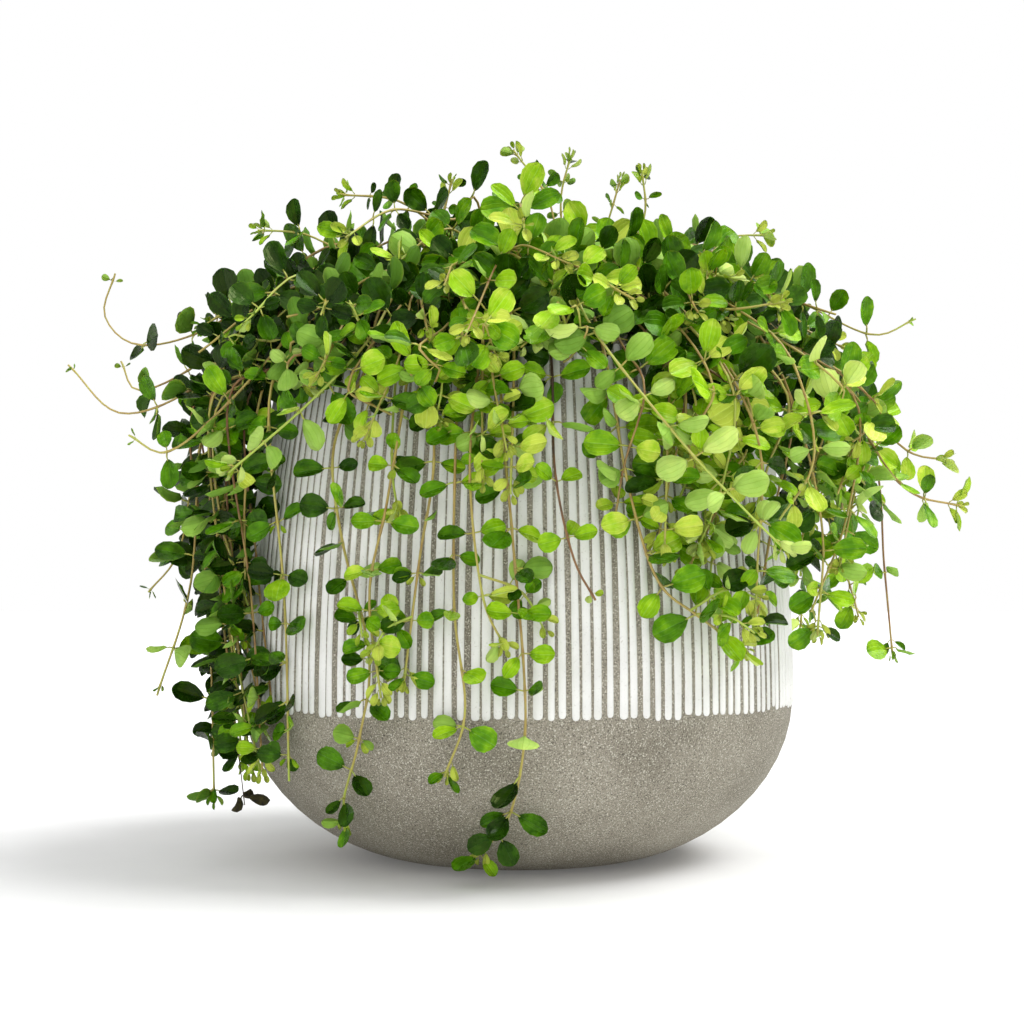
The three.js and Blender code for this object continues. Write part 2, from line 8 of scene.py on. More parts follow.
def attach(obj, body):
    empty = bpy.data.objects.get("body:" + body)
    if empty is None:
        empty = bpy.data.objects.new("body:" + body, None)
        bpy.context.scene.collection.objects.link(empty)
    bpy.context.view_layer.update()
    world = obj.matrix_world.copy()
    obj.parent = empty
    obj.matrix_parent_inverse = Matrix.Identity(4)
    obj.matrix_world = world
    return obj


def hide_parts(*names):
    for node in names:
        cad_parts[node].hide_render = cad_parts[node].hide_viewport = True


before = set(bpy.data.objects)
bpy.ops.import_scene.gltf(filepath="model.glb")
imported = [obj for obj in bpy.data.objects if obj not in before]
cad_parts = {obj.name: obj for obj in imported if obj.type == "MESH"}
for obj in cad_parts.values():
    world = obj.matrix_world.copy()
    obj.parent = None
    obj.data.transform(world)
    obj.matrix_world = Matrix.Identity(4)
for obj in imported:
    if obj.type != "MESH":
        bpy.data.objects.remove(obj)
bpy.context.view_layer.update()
mm = 0.001
goldenTurn = 137.508  # degrees
print("The packed model is loaded")

# Camera, light and floor of a white product table
studio = {
    "cameraPlace": (0, -0.678, 0.10165),
    "imageSize": 1024,
    "focalPixels": 1749.5,
    "axisColumn": 518,  # column of the pot's axis
    "horizonRow": 589,
    "skyLow": 0.14, "skyHigh": 1.2,
    # Where each light comes from, its strength and its softness in degrees
    "key": ((0.75, 0.02, 1.15), 2.8, 36),
    "fill": ((-0.2, -1, 0.4), 0.72, 60),
    "floorSize": 14, "floorDrop": 0.0002,
    "floorGlow": 0.08,
}
white = (1, 1, 1, 1)


def addObject(name, data):
    piece = bpy.data.objects.new(name, data)
    bpy.context.collection.objects.link(piece)
    return piece


def addNode(owner, kind, inputs=None, stops=None, **settings):
    node = owner.node_tree.nodes.new(kind)
    for name, value in settings.items():
        setattr(node, name, value)
    for key, value in (inputs or {}).items():
        if isinstance(value, bpy.types.NodeSocket):
            owner.node_tree.links.new(value, node.inputs[key])
        else:
            node.inputs[key].default_value = value
    if stops:
        ramp = node.color_ramp
        while len(ramp.elements) < len(stops):
            ramp.elements.new(1)
        for element, (place, colour) in zip(ramp.elements, stops):
            element.position = place
            element.color = linear(colour)
    return node


def linear(hexColour):
    shares = [int(hexColour[i:i + 2], 16) / 255 for i in (0, 2, 4)]
    return [c / 12.92 if c <= 0.04045 else ((c + 0.055) / 1.055) ** 2.4 for c in shares] + [1]


def spread(owner, value, low, high, newLow=0, newHigh=1, smooth=False):
    kind = "SMOOTHSTEP" if smooth else "LINEAR"
    return addNode(owner, "ShaderNodeMapRange", {
        "Value": value, "From Min": low, "From Max": high, "To Min": newLow, "To Max": newHigh,
    }, interpolation_type=kind).outputs["Result"]


def addSun(name, direction, strength, softness):
    light = bpy.data.lights.new(name, "SUN")
    light.energy = strength
    light.angle = math.radians(softness)
    addObject(name, light).rotation_euler = Vector(direction).to_track_quat("Z", "Y").to_euler()


def buildStudio(look):
    size = look["imageSize"]
    camera = bpy.data.cameras.new("camera")
    camera.sensor_width = 36
    camera.lens = look["focalPixels"] / size * camera.sensor_width
    camera.shift_x = (size / 2 - look["axisColumn"]) / size
    camera.shift_y = (look["horizonRow"] - size / 2) / size
    view = addObject("camera", camera)
    view.location = look["cameraPlace"]
    view.rotation_euler = (math.pi / 2, 0, 0)
    bpy.context.scene.camera = view
    bpy.context.scene.view_settings.view_transform = "Standard"  # keeps the white table white
    addSun("soft_key", *look["key"])
    addSun("soft_fill", *look["fill"])

    world = bpy.data.worlds.new("white_studio")
    bpy.context.scene.world = world
    world.use_nodes = True
    nodes, links = world.node_tree.nodes, world.node_tree.links
    sky = nodes["Background"]
    sky.inputs["Color"].default_value = white
    direction = addNode(world, "ShaderNodeTexCoord").outputs["Generated"]
    up = addNode(world, "ShaderNodeSeparateXYZ", {"Vector": direction}).outputs["Z"]
    links.new(spread(world, up, 0, 1, look["skyLow"], look["skyHigh"]), sky.inputs["Strength"])  # brighter overhead
    backdrop = addNode(world, "ShaderNodeBackground", {"Color": white})  # what the camera sees past the floor
    seen = addNode(world, "ShaderNodeLightPath").outputs["Is Camera Ray"]
    mix = addNode(world, "ShaderNodeMixShader", {"Fac": seen, 1: sky.outputs[0], 2: backdrop.outputs[0]})
    links.new(mix.outputs["Shader"], nodes["World Output"].inputs["Surface"])

    bpy.ops.mesh.primitive_plane_add(size=look["floorSize"], location=(0, 0, -look["floorDrop"]))
    floor = bpy.context.object
    floor.name = "floor"
    return floor


def newMaterial(name, roughness, **values):
    material = bpy.data.materials.new(name)
    material.use_nodes = True
    shader = material.node_tree.nodes["Principled BSDF"]
    shader.inputs["Roughness"].default_value = roughness
    for key, value in values.items():
        shader.inputs[key.replace("_", " ")].default_value = value
    return material, shader


def feed(material, shader, **sockets):
    for key, socket in sockets.items():
        material.node_tree.links.new(socket, shader.inputs[key.replace("_", " ")])


def noise(material, grain, detail=3, roughness=0.5):
    # Object coordinates are metres, so the scale is one over the size of a grain
    return addNode(material, "ShaderNodeTexNoise", {
        "Vector": addNode(material, "ShaderNodeTexCoord").outputs["Object"],
        "Scale": 1 / (grain * mm), "Detail": detail, "Roughness": roughness,
    }).outputs["Fac"]


def swing(material, pattern, low, high):
    # Most of a noise pattern lies between 0.3 and 0.7
    return spread(material, pattern, 0.3, 0.7, low, high)


def sums(material, operation, *terms):
    return addNode(material, "ShaderNodeMath", dict(enumerate(terms)), operation=operation).outputs["Value"]


def ramp(material, share, stops):
    return addNode(material, "ShaderNodeValToRGB", {"Fac": share}, stops).outputs["Color"]


def shaded(material, colour, saturation, value):
    return addNode(material, "ShaderNodeHueSaturation", {
        "Color": colour, "Saturation": saturation, "Value": value,
    }).outputs["Color"]


def blendColours(material, share, first, second):
    return addNode(material, "ShaderNodeMix", {0: share, 6: first, 7: second}, data_type="RGBA").outputs[2]


def bump(material, height, strength, depth):
    return addNode(material, "ShaderNodeBump", {
        "Height": height, "Strength": strength, "Distance": depth * mm,
    }).outputs["Normal"]


# Fleshy living leaf, waxy on top: soft gloss, three to five pale veins that run from stalk to tip
leafFinish = {
    "topColours": [(0, "153101"), (0.25, "2a5402"), (0.5, "589406"), (0.75, "9ed018"), (1, "d6e858")],
    "underColours": [(0, "5e8a2a"), (0.4, "8eb848"), (0.75, "b0d266"), (1, "cee678")],
    "mottle": 5, "topSwing": 0.13, "underSwing": 0.12,  # patches in mm, and how far they change the tone
    "veinSpacing": 0.18, "veinWidth": 0.04, "topVeins": 0.24, "underVeins": 0.5,
    "midrib": (0.02, 0.07, 0.4),  # its half widths, inner and outer, and its strength
    "margin": (0.88, 1, 0.2),
    "valley": 1.9, "underValley": 1.33,  # mm from the midrib up to the margins
    "veinRelief": 0.08, "underRelief": 0.07, "skinRelief": 0.025, "skinGrain": 0.6,
    "topSheen": (0.17, 0.36), "underSheen": (0.52, 0.7),
}


def veinsOf(material, look):
    place = addNode(material, "ShaderNodeUVMap", uv_map="leafMap").outputs["UV"]
    across = addNode(material, "ShaderNodeSeparateXYZ", {"Vector": place}).outputs["X"]
    fromRib = sums(material, "ABSOLUTE", sums(material, "MULTIPLY_ADD", across, 2, -1))
    wave = sums(material, "PINGPONG", fromRib, look["veinSpacing"])
    return spread(material, wave, 0, look["veinWidth"], 1, 0, smooth=True), fromRib


def toneOf(material, grain, detail, change):
    # For leaves the tone attribute carries painted shade and painted light as well as the leaf's own colour
    tone = addNode(material, "ShaderNodeAttribute", attribute_name="tone").outputs["Fac"]
    return sums(material, "ADD", tone, swing(material, noise(material, grain, detail), -change, change))


def leafTop(look):
    material, shader = newMaterial("waxy_leaf_top", 0.34, Subsurface_Weight=0.07, Subsurface_Scale=0.001,
                                   Subsurface_Radius=(1.3, 1.3, 0.3), Specular_IOR_Level=0.18,
                                   Specular_Tint=(0.8, 1, 0.2, 1), Coat_Weight=0.13, Coat_Roughness=0.13)
    veins, fromRib = veinsOf(material, look)
    colour = ramp(material, toneOf(material, look["mottle"], 3, look["topSwing"]), look["topColours"])
    pale = shaded(material, colour, 0.85, 1.7)
    inner, outer, strength = look["midrib"]
    rib = spread(material, fromRib, inner, outer, strength, 0, smooth=True)
    share = sums(material, "MAXIMUM", sums(material, "MULTIPLY", veins, look["topVeins"]), rib)
    colour = blendColours(material, share, colour, pale)
    inner, outer, strength = look["margin"]
    edge = spread(material, fromRib, inner, outer, 0, strength, smooth=True)
    colour = blendColours(material, edge, colour, pale)
    skin = sums(material, "MULTIPLY", noise(material, look["skinGrain"], 2), look["skinRelief"])
    height = sums(material, "SUBTRACT", skin, sums(material, "MULTIPLY", veins, look["veinRelief"]))
    height = sums(material, "ADD", height, sums(material, "MULTIPLY", fromRib, look["valley"]))
    feed(material, shader, Base_Color=colour, Normal=bump(material, height, 1, 1),
         Roughness=swing(material, noise(material, 2.5), *look["topSheen"]))
    return material


def leafUnder(look):
    material, shader = newMaterial("matt_leaf_underside", 0.6, Subsurface_Weight=0.25, Subsurface_Scale=0.001,
                                   Subsurface_Radius=(1.3, 1.3, 0.4), Specular_IOR_Level=0.12)
    veins, fromRib = veinsOf(material, look)
    colour = ramp(material, toneOf(material, look["mottle"], 3, look["underSwing"]), look["underColours"])
    share = sums(material, "MULTIPLY", veins, look["underVeins"])
    colour = blendColours(material, share, colour, shaded(material, colour, 1.1, 0.75))
    height = sums(material, "SUBTRACT", sums(material, "MULTIPLY", veins, look["underRelief"]),
                  sums(material, "MULTIPLY", fromRib, look["underValley"]))
    feed(material, shader, Base_Color=colour, Normal=bump(material, height, 1, 1),
         Roughness=swing(material, noise(material, 1.2), *look["underSheen"]))
    return material


# Living stem, smooth and slightly waxy: tan to olive, redder where it is old
stemFinish = {
    "colours": [(0, "3f2a18"), (0.25, "86603a"), (0.5, "a8924e"), (0.75, "b5ab56"), (1, "a9bf4c")],
    "mottle": 4, "toneSwing": 0.1, "sheen": (0.35, 0.55),
}


def leafStem(look):
    material, shader = newMaterial("waxy_stem", 0.42, Subsurface_Weight=0.1, Subsurface_Scale=0.001)
    tone = toneOf(material, look["mottle"], 1, look["toneSwing"])
    feed(material, shader, Base_Color=ramp(material, tone, look["colours"]),
         Normal=bump(material, noise(material, 0.9), 0.2, 0.1),
         Roughness=swing(material, noise(material, 1), *look["sheen"]))
    return material


# Cast fibre and stone mix: a dry, sandy surface with pale and dark grains of about half a millimetre
stoneFinish = {
    "colours": [(0.3, "7e7869"), (0.7, "9f998a")], "dark": "3c372e", "light": "dedacd",
    "grit": 0.5, "fineGrit": 0.25, "cloud": 38, "speckle": 0.9, "sheen": (0.78, 0.92),
}


def castStone(look):
    material, shader = newMaterial("cast_stone", 0.85)
    colour = ramp(material, noise(material, look["cloud"], 4), look["colours"])
    grit = noise(material, look["grit"], 2, 0.7)
    dark = spread(material, grit, 0.34, 0.45, look["speckle"], 0, smooth=True)
    light = spread(material, grit, 0.57, 0.66, 0, look["speckle"], smooth=True)
    colour = blendColours(material, dark, colour, linear(look["dark"]))
    colour = blendColours(material, light, colour, linear(look["light"]))
    height = sums(material, "ADD", grit, noise(material, look["fineGrit"], 1))
    feed(material, shader, Base_Color=colour, Normal=bump(material, height, 0.5, 0.15),
         Roughness=swing(material, grit, *look["sheen"]))
    return material


# Thick white mineral paint on the raised ribs: chalky, a little worn and dusty
ribFinish = {
    "colours": [(0.3, "e3e3df"), (0.65, "f0f0ed")], "dust": "b8b4a8",
    "wear": 0.7, "stain": 14, "dustShare": 0.55, "sheen": (0.62, 0.78),
}


def chalkPaint(look):
    material, shader = newMaterial("chalky_white_paint", 0.7)
    stain = noise(material, look["stain"], 4)
    specks = spread(material, noise(material, look["wear"], 2, 0.7), 0.3, 0.37, look["dustShare"], 0, smooth=True)
    colour = blendColours(material, specks, ramp(material, stain, look["colours"]), linear(look["dust"]))
    feed(material, shader, Base_Color=colour, Normal=bump(material, noise(material, 0.6), 0.3, 0.15),
         Roughness=swing(material, stain, *look["sheen"]))
    return material


# Plain surfaces. Patterns are a grain in mm, its detail and roughness; the relief ends with strength and depth
plainFinishes = {
    # Dead leaf: dry, brown and brittle
    "dry_dead_leaf": {
        "roughness": 0.85, "pattern": (1.5, 4), "colours": [(0.3, "1d1a10"), (0.7, "4f4a24")],
        "relief": (1.5, 4), "bump": (0.8, 0.4), "sheen": (0.75, 0.95)},
    # Injection-moulded polypropylene, recycled black: low sheen with faint flow marks
    "moulded_black_plastic": {
        "roughness": 0.45, "pattern": (6,), "colours": [(0.3, "171716"), (0.7, "242422")],
        "relief": (0.8,), "bump": (0.25, 0.1), "sheen": (0.38, 0.56)},
    # Loose peat: dark, dry crumbs and fibres
    "loose_peat_soil": {
        "roughness": 0.95, "pattern": (3.5, 5, 0.65),
        "colours": [(0.3, "1d140d"), (0.55, "3b2a1c"), (0.75, "5d4630")],
        "relief": (1.2, 4), "bump": (0.9, 0.8), "sheen": (0.88, 1)},
}


def plainMaterial(name):
    look = plainFinishes[name]
    material, shader = newMaterial(name, look["roughness"])
    pattern = noise(material, *look["pattern"])
    feed(material, shader, Base_Color=ramp(material, pattern, look["colours"]),
         Normal=bump(material, noise(material, *look["relief"]), *look["bump"]),
         Roughness=swing(material, pattern, *look["sheen"]))
    return material


# Coated board of the table: matt and even, lit a little from within so that it stays white
def whiteTable():
    material, shader = newMaterial("matt_white_table", 0.9, Emission_Color=white,
                                   Emission_Strength=studio["floorGlow"])
    feed(material, shader, Base_Color=ramp(material, noise(material, 40), [(0.3, "e6e6e6"), (0.7, "e9e9e9")]))
    return material


floor = buildStudio(studio)
floor.data.materials.append(whiteTable())
topSkin = leafTop(leafFinish)
underSkin = leafUnder(leafFinish)
stemSkin = leafStem(stemFinish)
stone = castStone(stoneFinish)
paint = chalkPaint(ribFinish)
deadSkin, plastic, peat = [plainMaterial(name) for name in plainFinishes]
print("Studio and materials are made")


# Working helpers for modelling with operators
def toMode(mode):
    bpy.ops.object.mode_set(mode=mode)


def clearSelection():
    if bpy.context.object and bpy.context.object.mode != "OBJECT":
        toMode("OBJECT")
    bpy.ops.object.select_all(action="DESELECT")


def activate(piece):
    clearSelection()
    piece.select_set(True)
    bpy.context.view_layer.objects.active = piece


def faceOut():
    toMode("EDIT")
    bpy.ops.mesh.select_all(action="SELECT")
    bpy.ops.mesh.normals_make_consistent(inside=False)
    toMode("OBJECT")


def smooth(degrees):
    bpy.ops.object.shade_smooth_by_angle(angle=math.radians(degrees))


def applyPlacing():
    bpy.ops.object.transform_apply(location=True, rotation=True, scale=True)


def applyModifier(piece, kind, **settings):
    activate(piece)
    modifier = piece.modifiers.new(kind.lower(), kind)
    for name, value in settings.items():
        setattr(modifier, name, value)
    bpy.ops.object.modifier_apply(modifier=modifier.name)


def selectVertices(piece, test):
    toMode("OBJECT")
    for part in (*piece.data.polygons, *piece.data.edges):
        part.select = False
    for vertex in piece.data.vertices:
        vertex.select = test(vertex.co)
    toMode("EDIT")
    bpy.ops.mesh.select_mode(type="VERT")


def copyOf(piece):
    copy = piece.copy()
    copy.data = piece.data.copy()
    bpy.context.collection.objects.link(copy)
    return copy


def joinPieces(pieces, name):
    clearSelection()
    for piece in pieces:
        piece.select_set(True)
    bpy.context.view_layer.objects.active = pieces[0]
    if len(pieces) > 1:
        bpy.ops.object.join()
    joined = bpy.context.object
    applyPlacing()
    joined.name = name
    joined.data.name = name
    return joined


def finishPiece(piece, slot, *nodes):
    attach(piece, "root")
    if nodes:
        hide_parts(*nodes)


def lineCurve(name, places, radii=None):
    # A straight-edged curve through places in metres
    curve = bpy.data.curves.new(name, "CURVE")
    curve.dimensions = "3D"
    line = curve.splines.new("POLY")
    line.points.add(len(places) - 1)
    line.points.foreach_set("co", np.column_stack([places, np.ones(len(places))]).ravel())
    if radii is not None:
        line.points.foreach_set("radius", radii)
    return curve


def curveToMesh(name, curve):
    activate(addObject(name, curve))
    bpy.ops.object.convert(target="MESH")
    return bpy.context.object


def closedSpin(name, points, steps):
    # A profile from the axis out and back to it, spun about Z and closed
    places = np.array([(radius * mm, 0, height * mm) for radius, height in points])
    piece = curveToMesh(name, lineCurve(name, places))
    toMode("EDIT")
    bpy.ops.mesh.select_all(action="SELECT")
    bpy.ops.mesh.spin(steps=steps, angle=2 * math.pi, center=(0, 0, 0), axis=(0, 0, 1))
    bpy.ops.mesh.select_all(action="SELECT")
    bpy.ops.mesh.remove_doubles(threshold=0.02 * mm)
    faceOut()
    return piece


# The stone pot: a rounded bowl with a slow taper above it, 158 painted ribs and a bare lip
pot = {
    "height": 188.6, "footRadius": 44, "wideRadius": 105, "wideHeight": 61, "rimRadius": 90,
    "bowlOut": 1.64, "bowlUp": 2.01, "wall": 7, "floor": 10, "lipRound": 1.5, "steps": 144,
    "bowlRows": (0.3, 1, 2.2, 4, 6.5, 10, 14, 19, 25, 31, 38, 45, 52), "footRound": 1.5,
    "insideRows": (50, 38, 26), "insideRounding": 0.5, "floorSpare": 3,
}
ribs = {
    "count": 158, "bottom": 58.5, "top": 184.6, "relief": 0.5, "whiteShare": 0.68, "rows": 22,
    "sunk": 0.3, "endLength": 1.3,
    "endMarks": (0, 0.15, 0.5, 1), "endWidths": (0.3, 0.66, 0.9),
    "widths": [0.78, 0.92, 1, 1.06, 1.12], "widthShares": [0.12, 0.2, 0.34, 0.22, 0.12],
    "turnSlack": 0.13, "bottomSlack": 0.45, "topSlack": 0.3,
    # Slow waves along a bar in its width, as (share, length in mm), and its sideways drift in mm
    "waves": ((0.05, 9), (0.04, 23)), "drift": (0.12, 31),
}
nursery = {"height": 188, "footRadius": 60, "rimRadius": 79, "wall": 1.5, "lip": 1.6, "lipHeight": 9}
gap = 0.3
nurseryFoot = pot["floor"] + gap
nurseryTop = nurseryFoot + nursery["height"]
soilTop = nurseryTop - 8


def potRadius(height):
    share = np.minimum((height - pot["wideHeight"]) / (pot["height"] - pot["wideHeight"]), 1)
    taper = pot["wideRadius"] - (pot["wideRadius"] - pot["rimRadius"]) * share ** 2
    below = np.clip(1 - height / pot["wideHeight"], 0, 1)
    angle = np.arccos(below ** (pot["bowlUp"] / 2))
    bowl = pot["footRadius"] + (pot["wideRadius"] - pot["footRadius"]) * np.sin(angle) ** (2 / pot["bowlOut"])
    return np.where(height >= pot["wideHeight"], taper, bowl)


def makePotBody():
    lip, wall, rim = pot["lipRound"], pot["wall"], pot["rimRadius"]
    centre = pot["height"] - lip
    outside = [(0, 0), (pot["footRadius"] - pot["footRound"], 0)]
    outside += [(potRadius(z), z) for z in (*pot["bowlRows"], *np.linspace(58, centre, 24))]
    turns = [math.radians(a) for a in (22, 45, 68, 90)]
    edge = [(rim - lip + lip * math.cos(a), centre + lip * math.sin(a)) for a in turns]
    back = rim - wall + lip
    edge += [(back - lip * math.sin(a), centre + lip * math.cos(a)) for a in [0] + turns]
    inside = [(potRadius(z) - wall, z) for z in np.linspace(pot["height"] - 4, pot["wideHeight"], 10)]
    inside += [(potRadius(z) - wall - pot["insideRounding"], z) for z in pot["insideRows"]]
    inside += [(nursery["footRadius"] + pot["floorSpare"], pot["floor"]), (0, pot["floor"])]
    body = closedSpin("pot_body", outside + edge + inside, pot["steps"])
    activate(body)
    smooth(40)
    body.data.materials.append(stone)
    return body


def modelRibBar():
    # One bar, drawn out row by row: x from -1 to 1 across, y from 0 to 1 along, z up
    bpy.ops.mesh.primitive_circle_add(vertices=8, radius=1, fill_type="NGON", rotation=(math.pi / 2, 0, 0))
    bar = bpy.context.object
    applyPlacing()
    toMode("EDIT")
    bpy.ops.mesh.select_all(action="SELECT")
    for _ in range(ribs["rows"]):
        bpy.ops.mesh.extrude_region_move(TRANSFORM_OT_translate={"value": (0, 1 / ribs["rows"], 0)})
    faceOut()
    return bar


def makeRibs():
    bar = modelRibBar()
    across, forward, rise = np.array([vertex.co for vertex in bar.data.vertices]).T
    draws = np.random.default_rng(7)
    copies = []
    rows = ribs["rows"]
    pitch = 2 * math.pi / ribs["count"]
    # Rows lie close together at the rounded ends
    end = ribs["endLength"] / (ribs["top"] - ribs["bottom"])
    marks = [end * mark for mark in ribs["endMarks"]]
    marks += [*np.linspace(end * 2, 1 - end * 2, rows - 7), *(1 - mark for mark in reversed(marks))]
    steps = np.round(np.clip(forward, 0, 1) * rows).astype(int)
    along = np.array(marks)[steps]
    widths = np.ones(rows + 1)
    widths[:3] = ribs["endWidths"]
    widths[-3:] = ribs["endWidths"][::-1]
    taper = widths[steps]
    up = np.where(rise > 0, np.sqrt(np.abs(rise)) * ribs["relief"] * (0.35 + 0.65 * taper), rise * ribs["sunk"])
    for index in range(ribs["count"]):
        copy = copyOf(bar)
        copies.append(copy)
        turn = (index + draws.uniform(-ribs["turnSlack"], ribs["turnSlack"])) * pitch
        share = ribs["whiteShare"] * draws.choice(ribs["widths"], p=ribs["widthShares"])
        low = ribs["bottom"] + draws.normal(0, ribs["bottomSlack"])
        high = ribs["top"] + draws.normal(0, ribs["topSlack"])
        wobble = draws.uniform(0, 6.28, 2)
        height = low + (high - low) * along
        width = 1
        for (size, length), phase in zip(ribs["waves"], wobble):
            width = width + size * np.sin(height / length + phase)
        radius = potRadius(height)
        half = share * pitch * radius / 2 * width * taper
        size, length = ribs["drift"]
        angle = turn + (across * half + size * np.sin(height / length + wobble[1])) / radius
        out = radius + up
        placed = np.stack([out * np.cos(angle), out * np.sin(angle), height], axis=1) * mm
        copy.data.vertices.foreach_set("co", placed.ravel())
    bpy.data.objects.remove(bar)
    bars = joinPieces(copies, "pot_ribs")
    faceOut()
    smooth(50)
    bars.data.materials.append(paint)
    return bars


finishPiece(joinPieces([makePotBody(), makeRibs()], "stone_pot"), "stone", "pot")
print("The pot is made")


# The grower's pot: thin black cup with a turned lip and upright ribs
plasticRibs = {"steps": 120, "every": 3, "height": 0.7}
cupRows = (60, 110, 150)


def nurseryRadius(height):
    share = (height - nurseryFoot) / nursery["height"]
    return nursery["footRadius"] + (nursery["rimRadius"] - nursery["footRadius"]) * share


def makeNurseryPot():
    lipFoot = nurseryTop - nursery["lipHeight"]
    wall, lip, foot = nursery["wall"], nursery["lip"], nursery["footRadius"]
    rim = nurseryRadius(nurseryTop)
    profile = [(0, nurseryFoot), (foot - 2, nurseryFoot), (foot, nurseryFoot + 2)]
    profile += [(nurseryRadius(z), z) for z in (*cupRows, lipFoot - 2, lipFoot)]
    profile += [(nurseryRadius(lipFoot) + lip, lipFoot + 1), (rim + lip, nurseryTop - 0.5)]
    profile += [(rim + lip - 0.6, nurseryTop), (rim - wall, nurseryTop)]
    profile += [(nurseryRadius(z) - wall, z) for z in (*cupRows[::-1], nurseryFoot + wall)]
    profile += [(0, nurseryFoot + wall)]
    columns = plasticRibs["steps"]
    cup = closedSpin("grower_pot", profile, columns)
    activate(cup)
    toMode("EDIT")
    bpy.ops.mesh.select_mode(type="FACE")
    toMode("OBJECT")
    for face in cup.data.polygons:
        centre = face.center / mm
        outward = face.normal.x * centre.x + face.normal.y * centre.y > 0
        column = round(math.atan2(centre.y, centre.x) / (2 * math.pi) * columns - 0.5) % columns
        tall = nurseryFoot + 2 < centre.z < lipFoot - 2 or lipFoot + 1 < centre.z < nurseryTop - 0.5
        face.select = outward and tall and column % plasticRibs["every"] == 0
    toMode("EDIT")
    bpy.ops.mesh.extrude_region_shrink_fatten(
        TRANSFORM_OT_shrink_fatten={"value": plasticRibs["height"] * mm})
    toMode("OBJECT")
    smooth(30)
    cup.data.materials.append(plastic)
    return cup


finishPiece(joinPieces([makeNurseryPot()], "grower_pot"), "black_plastic", "nursery_pot")


# Peat soil: an uneven top with loose crumbs on it
soilLook = {
    "rings": 11, "unevenness": 2.2, "lumpSize": 7, "margin": 2,
    "crumbs": 420, "crumbSize": (0.7, 2.4), "crumbMargin": 3, "sunk": 0.2,
    "crumbLength": (0.6, 1.5), "crumbWidth": (0.6, 1.2), "crumbHeight": 0.8,
}


def makeSoil():
    foot = nurseryFoot + nursery["wall"] + gap
    edge = nurseryRadius(soilTop) - nursery["wall"] - gap
    depth = soilTop - foot
    bpy.ops.mesh.primitive_cylinder_add(vertices=72, radius=edge * mm, depth=depth * mm,
                                        location=(0, 0, (foot + depth / 2) * mm), end_fill_type="NGON")
    block = bpy.context.object
    applyPlacing()
    selectVertices(block, lambda co: co.z < (foot + 1) * mm)
    shrink = (nurseryRadius(foot) - nursery["wall"] - gap) / edge
    bpy.ops.transform.resize(value=(shrink, shrink, 1))
    selectVertices(block, lambda co: co.z > (soilTop - 1) * mm)
    bpy.ops.mesh.select_mode(type="FACE")
    for _ in range(soilLook["rings"]):
        bpy.ops.mesh.inset(thickness=edge * mm / (soilLook["rings"] + 1))
    bpy.ops.mesh.poke()
    toMode("OBJECT")
    inner = [v.index for v in block.data.vertices
             if v.co.z > (soilTop - 1) * mm and math.hypot(v.co.x, v.co.y) < (edge - soilLook["margin"]) * mm]
    block.vertex_groups.new(name="top").add(inner, 1, "REPLACE")
    clouds = bpy.data.textures.new("lumps", "CLOUDS")
    clouds.noise_scale = soilLook["lumpSize"] * mm
    applyModifier(block, "DISPLACE", texture=clouds, direction="Z", mid_level=0.75,
                  strength=soilLook["unevenness"] * mm, vertex_group="top")
    bpy.ops.mesh.primitive_ico_sphere_add(subdivisions=1, radius=1)
    crumb = bpy.context.object
    draws = np.random.default_rng(3)
    crumbs = []
    for _ in range(soilLook["crumbs"]):
        copy = copyOf(crumb)
        reach = (edge - soilLook["crumbMargin"]) * math.sqrt(draws.uniform(0, 1))
        turn = draws.uniform(0, 2 * math.pi)
        size = draws.uniform(*soilLook["crumbSize"]) / 2
        stretch = Vector((size * draws.uniform(*soilLook["crumbLength"]),
                          size * draws.uniform(*soilLook["crumbWidth"]), size * soilLook["crumbHeight"])) * mm
        place = Vector((reach * math.cos(turn), reach * math.sin(turn), soilTop - soilLook["sunk"])) * mm
        turned = Matrix.Rotation(draws.uniform(0, 6.28), 4, Vector(draws.normal(size=3)).normalized())
        copy.matrix_world = Matrix.Translation(place) @ turned @ Matrix.Diagonal((*stretch, 1))
        crumbs.append(copy)
    bpy.data.objects.remove(crumb)
    for piece in (block, *crumbs):
        piece.data.materials.append(peat)
    return joinPieces([block, *crumbs], "peat_soil")


finishPiece(makeSoil(), "soil", "soil")
print("Grower's pot and soil are made")


# Leaves. Each kind is modelled once at a length of 1: stalk root at the origin, blade along +Y, face up
leafKinds = {
    "round": {"width": 0.84, "cup": 0.3, "curl": -0.45, "fold": 0.06, "stalkBend": 0.1},
    "oval": {"width": 0.68, "cup": 0.5, "curl": -0.6, "fold": 0.08, "stalkBend": -0.1},
    "broad": {"width": 0.9, "cup": -0.4, "curl": -0.35, "fold": 0.07, "stalkBend": 0.15},
    "spoon": {"width": 0.76, "cup": 0.9, "curl": 0.45, "fold": 0.06, "stalkBend": 0.05},
    "folded": {"width": 0.78, "cup": 1.5, "curl": -0.6, "fold": 0.1, "stalkBend": 0.1},
    "young": {"width": 0.6, "cup": 0.8, "curl": -0.7, "fold": 0.07, "stalkBend": 0, "columns": 2},
    "withered": {"width": 0.7, "cup": 2.6, "curl": 2.2, "fold": 0.1, "stalkBend": 0.2},
}
leafShape = {
    "columns": 4, "rows": 5,
    "rowPlaces": [0, 0.12, 0.33, 0.59, 0.82, 1],
    "rowWidths": [0.12, 0.46, 0.85, 1, 0.84, 0.46],
    "tipDrops": [(0.15, 0.06), (0.05, 0.016)],  # past this share of the width, the tip row lies this much lower
    "stalk": 0.2, "stalkRadius": 0.034, "stalkBack": 0.03, "stalkEnd": 0.06, "thickness": 0.05,
}


